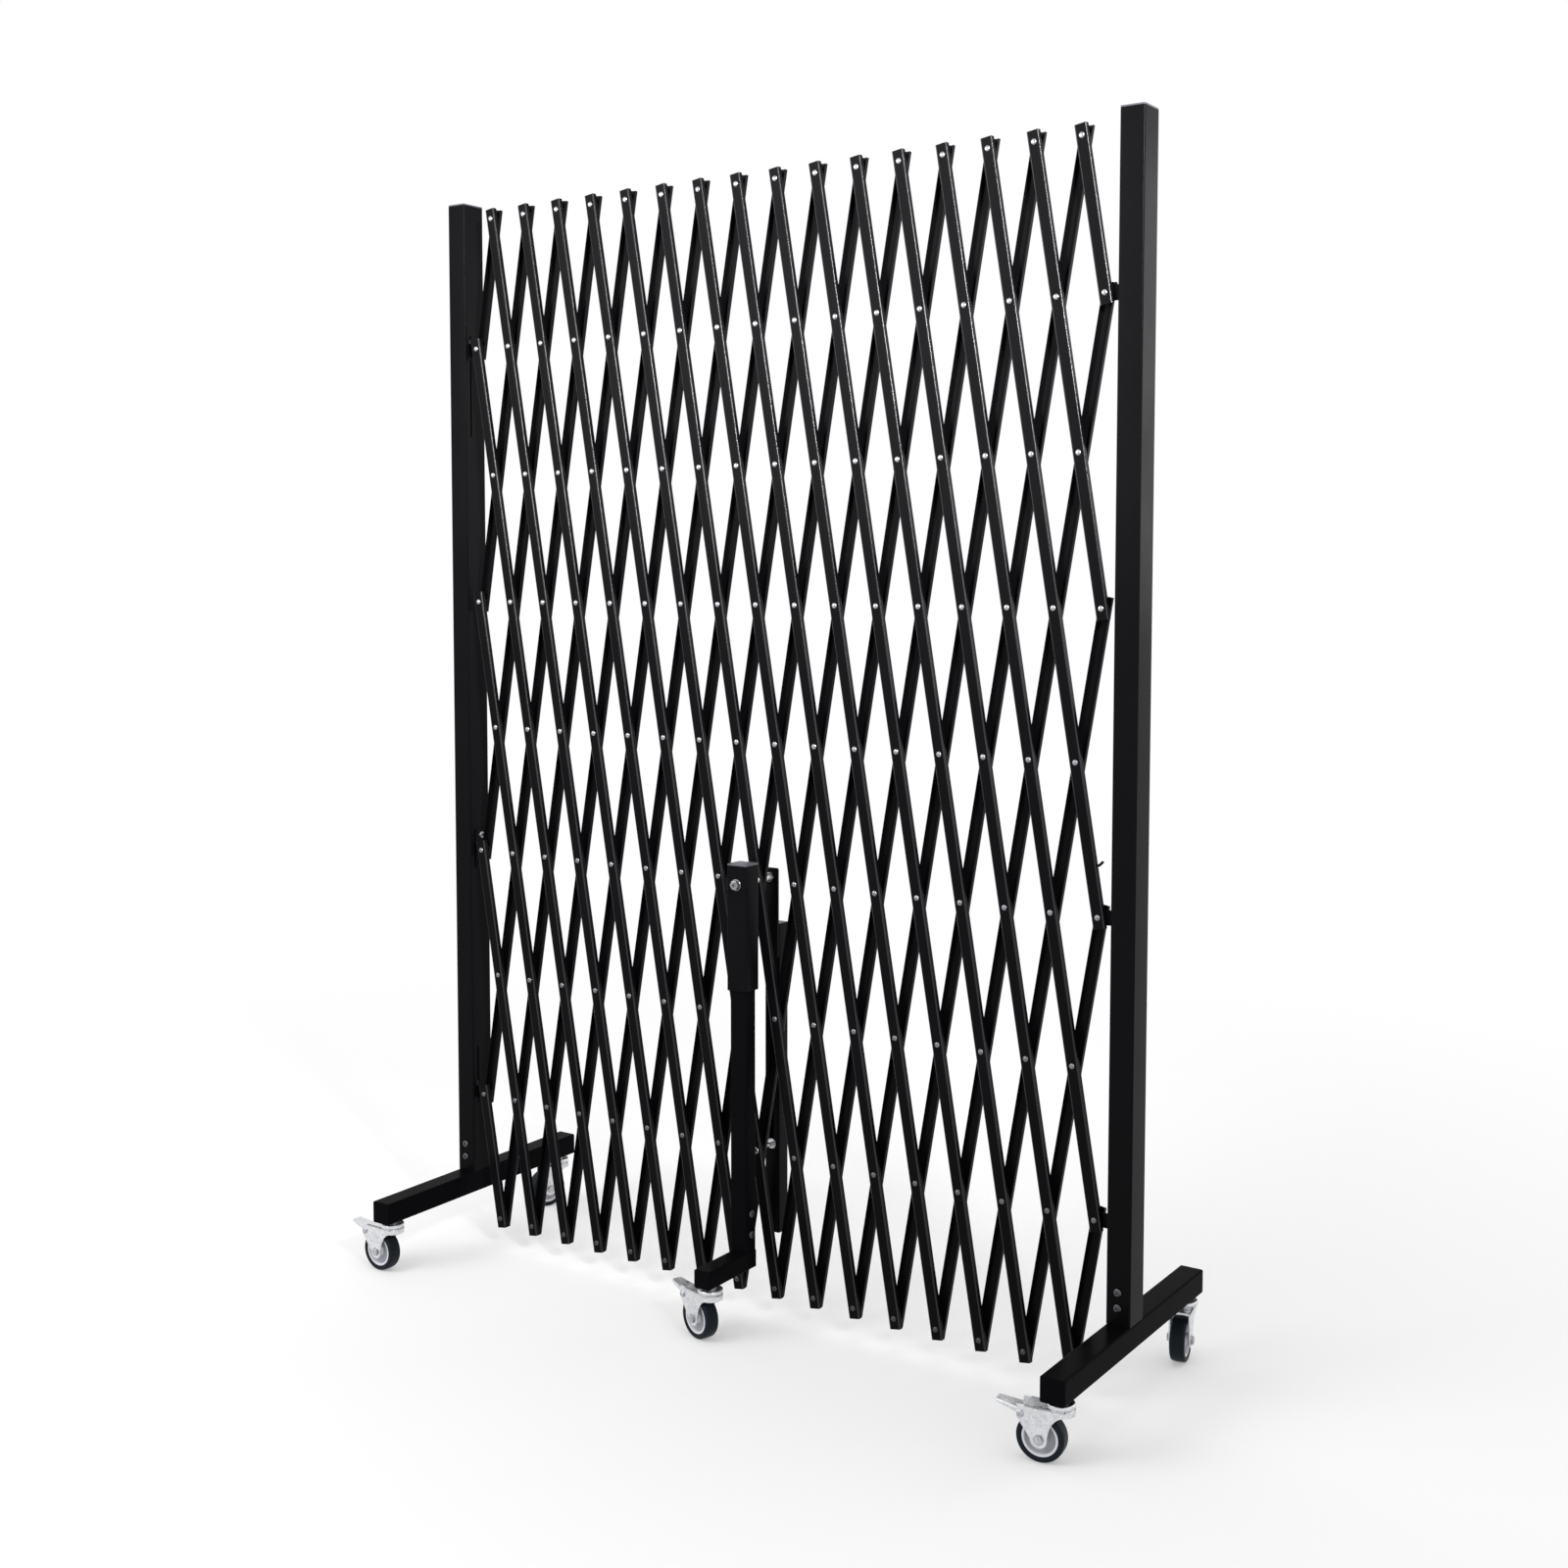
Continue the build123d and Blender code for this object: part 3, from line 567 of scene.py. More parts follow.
class Form:
    """Collects closed shells into one mesh; each way to add one gives the form back."""

    def __init__(self) -> None:
        """Start an empty form."""
        self.mesh = bmesh.new()

    def loft(self, loops: list[list[Vector]], place: Matrix, closed: bool = False) -> Form:
        """Join loops of points by faces.

        Args:
            loops: The loops, each with as many points.
            place: The frame that they are drawn in.
            closed: Whether the last loop joins the first, instead of both being capped.

        Returns:
            The form.
        """
        rings = [[self.mesh.verts.new(place @ point) for point in loop] for loop in loops]
        pairs = list(zip(rings, rings[1:]))
        if closed:
            pairs.append((rings[-1], rings[0]))
        count = len(rings[0])
        for low, high in pairs:
            for index in range(count):
                after = (index + 1) % count
                self.mesh.faces.new((low[index], low[after], high[after], high[index]))
        if not closed:
            self.mesh.faces.new(list(reversed(rings[0])))
            self.mesh.faces.new(rings[-1])
        return self

    def stack(
        self, levels: list[tuple[Outline, float]], place: Matrix, closed: bool = False
    ) -> Form:
        """Join outlines at their heights.

        Args:
            levels: Each outline and its height.
            place: The frame that they are drawn in.
            closed: Whether the last outline joins the first.

        Returns:
            The form.
        """
        loops = [[Vector((x, y, height)) for x, y in outline] for outline, height in levels]
        return self.loft(loops, place, closed)

    def turn(self, profile: Outline, place: Matrix, sides: int, closed: bool = False) -> Form:
        """Turn a profile about the Z of a frame.

        Args:
            profile: Points as radius and height.
            place: The frame.
            sides: The faces round the axis.
            closed: Whether the profile is a closed one, as of a ring.

        Returns:
            The form.
        """
        levels = [(circle(radius, sides), height) for radius, height in profile]
        return self.stack(levels, place, closed)

    def cylinder(
        self, radius: float, low: float, high: float, place: Matrix, sides: int = 24
    ) -> Form:
        """Add a cylinder about the Z of a frame.

        Args:
            radius: Its radius.
            low: The height of its lower end.
            high: The height of its upper end.
            place: The frame.
            sides: The faces round it.

        Returns:
            The form.
        """
        return self.turn([(radius, low), (radius, high)], place, sides)

    def plate(self, outline: Outline, low: float, high: float, edge: float, place: Matrix) -> Form:
        """Add a plate of an outline, with rounded edges on both faces.

        Args:
            outline: The outline, anticlockwise.
            low: The height of its lower face.
            high: The height of its upper face.
            edge: The radius of its edges.
            place: The frame that it is drawn in.

        Returns:
            The form.
        """
        steps = 3
        levels = arc((edge, low + edge), edge, -pi / 2, -pi, steps)
        levels += arc((edge, high - edge), edge, pi, pi / 2, steps)
        return self.stack([(inset(outline, depth), height) for depth, height in levels], place)

    def tube(
        self, size: Pair, wall: float, corner: float, low: float, high: float, place: Matrix
    ) -> Form:
        """Add a rectangular tube along the Z of a frame.

        Args:
            size: Its outer sides along X and Y.
            wall: Its wall.
            corner: The radius of its outer corners.
            low: The height of its lower end.
            high: The height of its upper end.
            place: The frame.

        Returns:
            The form.
        """
        width, depth = size
        edge = wall / TUBE_EDGES
        outer = rounded_box(width, depth, corner)
        bend = max(corner - wall, wall / TUBE_CORNERS)
        inner = rounded_box(width - 2 * wall, depth - 2 * wall, bend)
        bevelled = inset(outer, edge)
        outside = [(outer, low + edge), (outer, high - edge), (bevelled, high)]
        inside = [(inner, high), (inner, low), (bevelled, low)]
        return self.stack(outside + inside, place, closed=True)

    def hexagon(
        self, radius: float, low: float, high: float, place: Matrix, socket: float = 0.0
    ) -> Form:
        """Add a hexagon with chamfered corners.

        Args:
            radius: The radius over its corners.
            low: The height of its lower face.
            high: The height of its upper face.
            place: The frame, whose Z is its axis.
            socket: The radius of a hexagon socket in its lower face, if any.

        Returns:
            The form.
        """
        chamfer = radius / HEXAGON_CHAMFERS
        levels = [
            (radius - chamfer, low),
            (radius, low + chamfer / 2),
            (radius, high - chamfer / 2),
            (radius - chamfer, high),
        ]
        if socket:
            levels = [(socket, (low + high) / 2), (socket, low), *levels]
        return self.turn(levels, place, 6)

    def rod(self, path: list[Vector], radius: float, sides: int = 16) -> Form:
        """Add a round rod along a path.

        Args:
            path: The points of its middle line.
            radius: Its radius.
            sides: The faces round it.

        Returns:
            The form.
        """
        loops = []
        for index, point in enumerate(path):
            before = path[max(index - 1, 0)]
            after = path[min(index + 1, len(path) - 1)]
            frame = aim(point, after - before, Vector((1, 0, 0)))
            loops.append([frame @ Vector((x, y, 0)) for x, y in circle(radius, sides)])
        return self.loft(loops, Matrix.Identity(4))

    def piece(self, name: str, finish: Finish) -> bpy.types.Object:
        """End the form as an object at the origin.

        Args:
            name: The piece's name.
            finish: Its finish.

        Returns:
            The piece.
        """
        data = bpy.data.meshes.new(name)
        self.mesh.to_mesh(data)
        self.mesh.free()
        data.materials.append(finish.material())
        return smooth(show(name, data))

    def seat(self, node: str, part: str, finish: Finish, slot: Slot) -> None:
        """End the form as a piece of a node, named after both."""
        fit(self.piece(f"{node}_{part}", finish), node, slot)


def smooth(piece: bpy.types.Object) -> bpy.types.Object:
    """Turn a piece's faces outwards and shade its rounds smoothly.

    Args:
        piece: The piece.

    Returns:
        The same piece.
    """
    work = bmesh.new()
    work.from_mesh(piece.data)
    bmesh.ops.recalc_face_normals(work, faces=work.faces)
    work.to_mesh(piece.data)
    work.free()
    piece.data.shade_smooth()
    piece.data.set_sharp_from_angle(angle=SMOOTH_ANGLE)
    weights = piece.modifiers.new("weights", "WEIGHTED_NORMAL")
    weights.keep_sharp = True
    return settle(piece)


def paint(
    piece: bpy.types.Object, finish: Finish, chosen: Callable[[bpy.types.MeshPolygon], bool]
) -> None:
    """Give some faces of a finished piece a second material.

    Args:
        piece: The piece.
        finish: The second finish.
        chosen: Says whether a face gets it.
    """
    piece.data.materials.append(finish.material())
    for face in piece.data.polygons:
        if chosen(face):
            face.material_index = 1


def settle(piece: bpy.types.Object) -> bpy.types.Object:
    """Turn a piece's modifiers into its plain mesh.

    Args:
        piece: The piece.

    Returns:
        The same piece, without modifiers.
    """
    graph = bpy.context.evaluated_depsgraph_get()
    made = bpy.data.meshes.new_from_object(piece.evaluated_get(graph))
    piece.modifiers.clear()
    piece.data = made
    return piece


def cut(piece: bpy.types.Object, cutter: bpy.types.Object) -> bpy.types.Object:
    """Cut one shape out of a piece and remove the cutter.

    Args:
        piece: The piece.
        cutter: The shape that is cut out of it.

    Returns:
        The piece.
    """
    opening = piece.modifiers.new("opening", "BOOLEAN")
    opening.operation = "DIFFERENCE"
    opening.solver = "EXACT"
    opening.object = cutter
    settle(piece)
    bpy.data.objects.remove(cutter)
    return smooth(piece)


def fit(piece: bpy.types.Object, node: str, slot: Slot | None = None) -> None:
    """Seat a finished piece on the body of the CAD node that it stands for.

    Args:
        piece: The piece.
        node: The node, whose body has the same name.
        slot: Not used.
    """
    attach(piece, node)
    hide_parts(node)
    LOG.info("%s rides on %s, %d faces", piece.name, node, len(piece.data.polygons))


# Node trees


class Tree:
    """A geometry node tree with named inputs."""

    def __init__(self, name: str, **inputs: str) -> None:
        """Start a tree.

        Args:
            name: Its name.
            inputs: The kind of socket of each input.
        """
        self.group = bpy.data.node_groups.new(name, "GeometryNodeTree")
        sockets = self.group.interface
        sockets.new_socket("Result", in_out="OUTPUT", socket_type="NodeSocketGeometry")
        self.sockets = {
            key: sockets.new_socket(key, in_out="INPUT", socket_type="NodeSocket" + kind)
            for key, kind in inputs.items()
        }
        self.given = self.add("NodeGroupInput", {}).outputs

    def add(self, kind: str, inputs: dict[int | str, object], **settings: object) -> bpy.types.Node:
        """Add a node, as wire does."""
        return wire(self.group, kind, inputs, **settings)

    def close(self, shape: bpy.types.NodeSocket) -> Tree:
        """End the tree in realized instances and their material.

        Args:
            shape: The shape that the tree makes.

        Returns:
            The tree.
        """
        real = self.add("GeometryNodeRealizeInstances", {"Geometry": shape})
        inputs = {"Geometry": real.outputs["Geometry"], "Material": self.given["Finish"]}
        dressed = self.add("GeometryNodeSetMaterial", inputs)
        self.add("NodeGroupOutput", {"Result": dressed.outputs["Geometry"]})
        return self

    def run(self, name: str, **values: object) -> bpy.types.Object:
        """Run the tree once and keep its result as a plain mesh.

        Args:
            name: The name of the piece.
            values: The inputs.

        Returns:
            The piece.
        """
        piece = show(name, bpy.data.meshes.new(name))
        modifier = piece.modifiers.new("tree", "NODES")
        modifier.node_group = self.group
        for key, value in values.items():
            modifier[self.sockets[key].identifier] = value
        return smooth(settle(piece))


def fastener_row_tree() -> Tree:
    """Make the tree that sets like fasteners in a row.

    Returns:
        The tree, with the fastener, its first place, the step, the count and one to skip.
    """
    kinds = {"Fastener": "Object", "First": "Vector", "Step": "Vector"}
    tree = Tree("fastener_row", **kinds, Count="Int", Skipped="Int", Finish="Material")
    given = tree.given
    inputs = {"Count": given["Count"], "Start Location": given["First"], "Offset": given["Step"]}
    line = tree.add("GeometryNodeMeshLine", inputs, mode="OFFSET", count_mode="TOTAL")
    index = tree.add("GeometryNodeInputIndex", {}).outputs["Index"]
    inputs = {COMPARE_FIRST: index, COMPARE_SECOND: given["Skipped"]}
    kept = tree.add("FunctionNodeCompare", inputs, data_type="INT", operation="NOT_EQUAL")
    fastener = tree.add("GeometryNodeObjectInfo", {"Object": given["Fastener"]})
    inputs = {
        "Points": line.outputs["Mesh"],
        "Selection": kept.outputs["Result"],
        "Instance": fastener.outputs["Geometry"],
    }
    row = tree.add("GeometryNodeInstanceOnPoints", inputs)
    return tree.close(row.outputs["Instances"])


def bar_tree() -> Tree:
    """Make the tree that draws one bar through its crossings.

    Returns:
        The tree, with the section, the lowest crossing, the lean and the crossings' count and step.
    """
    kinds = {"Section": "Object", "Lowest": "Vector", "Lean": "Float", "Crossings": "Int"}
    tree = Tree("lattice_bar", **kinds, Step="Float", Overrun="Float", Finish="Material")
    given = tree.given

    def maths(operation: str, first: bpy.types.NodeSocket, second: object) -> bpy.types.NodeSocket:
        """Add a sum of two values and give its result."""
        return tree.add("ShaderNodeMath", {0: first, 1: second}, operation=operation).outputs[0]

    run = maths("MULTIPLY", maths("SUBTRACT", given["Crossings"], 1.0), given["Step"])
    bottom = {"Z": maths("MULTIPLY", given["Overrun"], -1.0)}
    top = {"Z": maths("ADD", run, given["Overrun"])}
    ends = [tree.add("ShaderNodeCombineXYZ", end).outputs[0] for end in (bottom, top)]
    inputs = {"Start": ends[0], "End": ends[1]}
    line = tree.add("GeometryNodeCurvePrimitiveLine", inputs, mode="POINTS")
    section = tree.add("GeometryNodeObjectInfo", {"Object": given["Section"]})
    inputs = {
        "Curve": line.outputs["Curve"],
        "Profile Curve": section.outputs["Geometry"],
        "Fill Caps": True,
    }
    swept = tree.add("GeometryNodeCurveToMesh", inputs)
    lean = tree.add("ShaderNodeCombineXYZ", {"Y": given["Lean"]})
    turned = tree.add("FunctionNodeEulerToRotation", {"Euler": lean.outputs[0]})
    inputs = {
        "Geometry": swept.outputs["Mesh"],
        "Translation": given["Lowest"],
        "Rotation": turned.outputs[0],
    }
    return tree.close(tree.add("GeometryNodeTransform", inputs).outputs["Geometry"])


# The barrier


@dataclass(frozen=True)
class Grid:
    """The grid of crossings, placed by the pivot bolt."""

    pivot: Vector
    rows: int = 9
    columns: int = 16
    pivot_row: int = 5
    guide_row: int = 7
    slider_rows: tuple[int, int] = (1, 7)
    step: float = 0.2423
    lean: float = radians(9.44)
    closed_lean: float = radians(2.7)
    open_lean: float = radians(33.6)
    layer_gap: float = 0.004
    bar_depth: float = 0.009
    bar_wall: float = 0.0015

    @property
    def middle(self) -> float:
        """The column that the pivot bolt is on."""
        return (self.columns - 1) / 2

    @property
    def column_pitch(self) -> float:
        """The way from one column to the next."""
        return 2 * self.step * sin(self.lean)

    @property
    def outer_face(self) -> float:
        """The way from the middle of the lattice to the outside of a web."""
        return self.layer_gap / 2 + self.bar_depth

    def place(self, column: float, row: float) -> Vector:
        """Give a crossing's place in the middle between the layers."""
        rise = (self.pivot_row - row) * self.step * cos(self.lean)
        return self.pivot + Vector(((column - self.middle) * self.column_pitch, 0, rise))

    def crossings(self, layer: Layer, number: int) -> list[tuple[float, int]]:
        """List the crossings of a bar.

        Args:
            layer: The bar's layer.
            number: Its number, counted from the left.

        Returns:
            The column and row of each, from the top down.
        """
        first = number - 1 - ((self.rows - 1) // 2 if layer is Layer.FRONT else 0)
        places = [(first + layer.value * row / 2, row) for row in range(self.rows)]
        return [place for place in places if -0.5 <= place[0] <= self.columns - 0.5]

    def travel(self, row: int) -> Pair:
        """Give how far a row's crossings move as the lattice folds.

        Args:
            row: The row.

        Returns:
            How far they rise and how far they drop.
        """
        span = (self.pivot_row - row) * self.step
        leans = (self.closed_lean, self.open_lean)
        moves = [span * (cos(lean) - cos(self.lean)) for lean in leans]
        return max(moves), -min(moves)


@dataclass
class Lattice:
    """The two layers of bars with their rivets."""

    grid: Grid
    bars: int = 20
    width: float = 0.020
    bend: float = 0.002
    bend_steps: int = 5
    bend_slopes: Pair = (0.1, 0.995)
    overrun: float = 0.018
    rivet_radius: float = 0.0048
    rivet_height: float = 0.0022
    collar_radius: float = 0.005
    play: float = 0.0003
    pin_radius: float = 0.004
    pin_reach: float = 0.049
    pin_surplus: float = 0.001
    pin_collar_radius: float = 0.009
    pin_collar_wall: float = 0.003
    pin_collar_reach: float = 0.0398
    stud_bar: int = 18
    stud_height: float = 0.080
    stud_radius: float = 0.0022
    stud_standoff: float = 0.004
    stud_length: float = 0.009
    rivet_sides: int = 12
    pin_sides: int = 24

    def section(self, layer: Layer) -> bpy.types.Object:
        """Draw the section of a layer's bars, its web away from the other layer.

        Args:
            layer: The layer.

        Returns:
            A closed curve in the bar's own frame.
        """
        depth, wall = self.grid.bar_depth, self.grid.bar_wall
        outline = channel(self.width / 2, 0.0, depth, wall, self.bend, self.bend_steps)
        curve = bpy.data.curves.new("section", "CURVE")
        curve.dimensions = "3D"
        spline = curve.splines.new("POLY")
        spline.points.add(len(outline) - 1)
        for point, (x, y) in zip(spline.points, outline):
            point.co = (x, -layer.value * (y + self.grid.layer_gap / 2), 0, 1)
        spline.use_cyclic_u = True
        return show("section", curve)

    def is_bend(self, face: bpy.types.MeshPolygon) -> bool:
        """Say whether a face of a bar lies on the bend between its web and a flange."""
        return self.bend_slopes[0] < abs(face.normal.y) < self.bend_slopes[1]

    def rivet(self) -> bpy.types.Object:
        """Make one rivet with its collar and both heads, its front to -Y.

        Returns:
            The rivet.
        """
        form = Form()
        front, back = (aim(Vector((0, 0, 0)), way) for way in (TO_FRONT, TO_REAR))
        for place, play in ((front, 0.0), (back, self.play)):
            base = self.grid.outer_face + play
            head = dome(ROUND_HEAD, self.rivet_radius, base, self.rivet_height)
            form.turn(head, place, self.rivet_sides)
        web = self.grid.outer_face - self.grid.bar_wall
        form.cylinder(self.collar_radius, self.play - web, web, front, self.rivet_sides)
        return form.piece("rivet", Finish.RIVET)

    def guide_pin(self, place: Vector) -> bpy.types.Object:
        """Make the long pin that reaches back into the rear guide.

        Args:
            place: Its crossing.

        Returns:
            The piece.
        """
        front = aim(place, TO_FRONT)
        face = self.grid.outer_face
        web = face - self.grid.bar_wall
        head = dome(PIN_HEAD, self.rivet_radius + self.pin_surplus, face, self.rivet_height)
        shaft = [(self.pin_radius, -self.pin_reach), (self.pin_radius, face)]
        end = -self.pin_collar_reach
        form = Form().turn([*shaft, *head], front, self.pin_sides)
        form.cylinder(self.collar_radius + self.pin_surplus, self.play - web, web, front)
        form.cylinder(self.pin_collar_radius, end - self.pin_collar_wall, end, front)
        return form.piece("guide_pin", Finish.STEEL)

    def stud(self, place: Vector) -> bpy.types.Object:
        """Make the small bent stud on the outer side of a bar.

        Args:
            place: The bar's lowest crossing.

        Returns:
            The piece.
        """
        tilt = self.grid.lean
        along = Vector((-sin(tilt), 0, cos(tilt)))
        outward = Vector((cos(tilt), 0, sin(tilt)))
        foot = place + along * self.stud_height + outward * self.width / 2
        foot.y -= (self.grid.layer_gap + self.grid.bar_depth) / 2
        corner = foot + outward * self.stud_standoff
        rise = Vector((1, 0, 1)).normalized()
        tip = corner + rise * self.stud_length
        bend = self.stud_radius / 2
        path = [foot, corner - outward * bend, corner + rise * bend, tip - rise * bend, tip]
        return Form().rod(path, self.stud_radius).piece("latch_stud", Finish.COAT)

    def build(self) -> None:
        """Make all bars and rivets and seat them on their bodies."""
        draw = bar_tree()
        row = fastener_row_tree()
        rivet = self.rivet()
        sections = {layer: self.section(layer) for layer in Layer}
        for number in range(1, self.bars + 1):
            for layer in Layer:
                node = f"{layer.name.lower()}_bar_{number:02d}"
                crossings = self.grid.crossings(layer, number)
                bar = draw.run(
                    node + "_channel",
                    Section=sections[layer],
                    Lowest=self.grid.place(*crossings[-1]),
                    Lean=-layer.value * self.grid.lean,
                    Crossings=len(crossings),
                    Step=self.grid.step,
                    Overrun=self.overrun,
                    Finish=Finish.COAT.material(),
                )
                # the bends get the paler coat, a painted highlight line
                paint(bar, Finish.RUBBED, self.is_bend)
                fit(bar, node, Slot.FRONT_BAR if layer is Layer.FRONT else Slot.BACK_BAR)
                if layer is Layer.FRONT:
                    self.rivets(row, rivet, node, crossings)
            if number == self.stud_bar:
                lowest = self.grid.place(*self.grid.crossings(Layer.FRONT, number)[-1])
                fit(self.stud(lowest), f"front_bar_{number:02d}", Slot.FRONT_BAR)
        for helper in (rivet, *sections.values()):
            bpy.data.objects.remove(helper)

    def rivets(
        self, row: Tree, rivet: bpy.types.Object, node: str, crossings: list[tuple[float, int]]
    ) -> None:
        """Set the rivets of a front bar, without the bolt's and the guide pin's crossings.

        Args:
            row: The tree that sets them.
            rivet: One rivet.
            node: The bar's node.
            crossings: The bar's crossings.
        """
        skipped = -1
        for index, (column, line) in enumerate(crossings):
            if column == self.grid.middle and line in (self.grid.pivot_row, self.grid.guide_row):
                skipped = index
                if line == self.grid.guide_row:
                    fit(self.guide_pin(self.grid.place(column, line)), node, Slot.FORK)
        rivets = row.run(
            node + "_rivets",
            Fastener=rivet,
            First=self.grid.place(*crossings[0]),
            Step=self.grid.place(0.5, 1) - self.grid.place(0, 0),
            Count=len(crossings),
            Skipped=skipped,
            Finish=Finish.RIVET.material(),
        )
        fit(rivets, node, Slot.FORK)


@dataclass
class DomedBolt:
    """The domed bolts of the stands, with a round socket in their heads."""

    head_radius: float = 0.0065
    head_height: float = 0.004
    head_round: float = 0.002
    head_steps: int = 3
    socket_radius: float = 0.0026
    socket_depth: float = 0.0018
    sides: int = 28

    def add(self, form: Form, places: list[Vector], outward: Vector) -> None:
        """Add the heads of bolts to a form.

        Args:
            form: The form.
            places: Where they sit.
            outward: The way that they face.
        """
        top, bend = self.head_height, self.head_round
        profile = [
            (self.head_radius, 0.0),
            *arc((self.head_radius - bend, top - bend), bend, 0, pi / 2, self.head_steps),
            (self.socket_radius, top),
            (self.socket_radius, top - self.socket_depth),
        ]
        for place in places:
            form.turn(profile, aim(place, outward), self.sides)


@dataclass
class Foot:
    """A square foot with plugs, along Y, on casters."""

    x: float
    front: float
    rear: float
    side: float
    wall: float = 0.002
    corner: float = 0.003
    plug_wall: float = 0.003
    plug_edge: float = 0.0009

    @property
    def top(self) -> float:
        """The height of its upper side."""
        return FOOT_BOTTOM + self.side

    def build(self, node: str) -> None:
        """Make the tube and its plugs.

        Args:
            node: The stand's node.
        """
        place = aim(Vector((self.x, self.front, FOOT_BOTTOM + self.side / 2)), TO_REAR)
        size = (self.side, self.side)
        end = self.rear - self.front - self.plug_wall
        tube = Form().tube(size, self.wall, self.corner, self.plug_wall, end, place)
        tube.seat(node, "foot", Finish.MATT, Slot.STAND)
        plugs = Form()
        for low in (0.0, end):
            outline = rounded_box(*size, self.corner)
            plugs.plate(outline, low, low + self.plug_wall, self.plug_edge, place)
        plugs.seat(node, "foot_plugs", Finish.MATT, Slot.STAND)


@dataclass
class Stem:
    """A caster's stem with its collar, lower head and nut."""

    radius: float = 0.006
    collar_radius: float = 0.011
    collar_low: float = 0.0953
    head_radius: float = 0.009
    head_low: float = 0.0797
    head_high: float = 0.0827
    nut_radius: float = 0.0105
    nut_height: float = 0.008
    overrun: float = 0.003
    sides: int = 28

    def add(self, form: Form, x: float, y: float, seat: float) -> None:
        """Add the stem to a form.

        Args:
            form: The form.
            x: Its place along X.
            y: Its place along Y.
            seat: The thickness of the foot's wall that it is bolted through.
        """
        place = Matrix.Translation((x, y, 0))
        top = FOOT_BOTTOM + seat
        profile = [
            (self.head_radius, self.head_low),
            (self.head_radius, self.head_high),
            (self.radius, self.head_high),
            (self.radius, self.collar_low),
            (self.collar_radius, self.collar_low),
            (self.collar_radius, FOOT_BOTTOM),
            (self.radius, FOOT_BOTTOM),
            (self.radius, top + self.nut_height + self.overrun),
        ]
        form.turn(profile, place, self.sides)
        form.hexagon(self.nut_radius, top, top + self.nut_height, place)


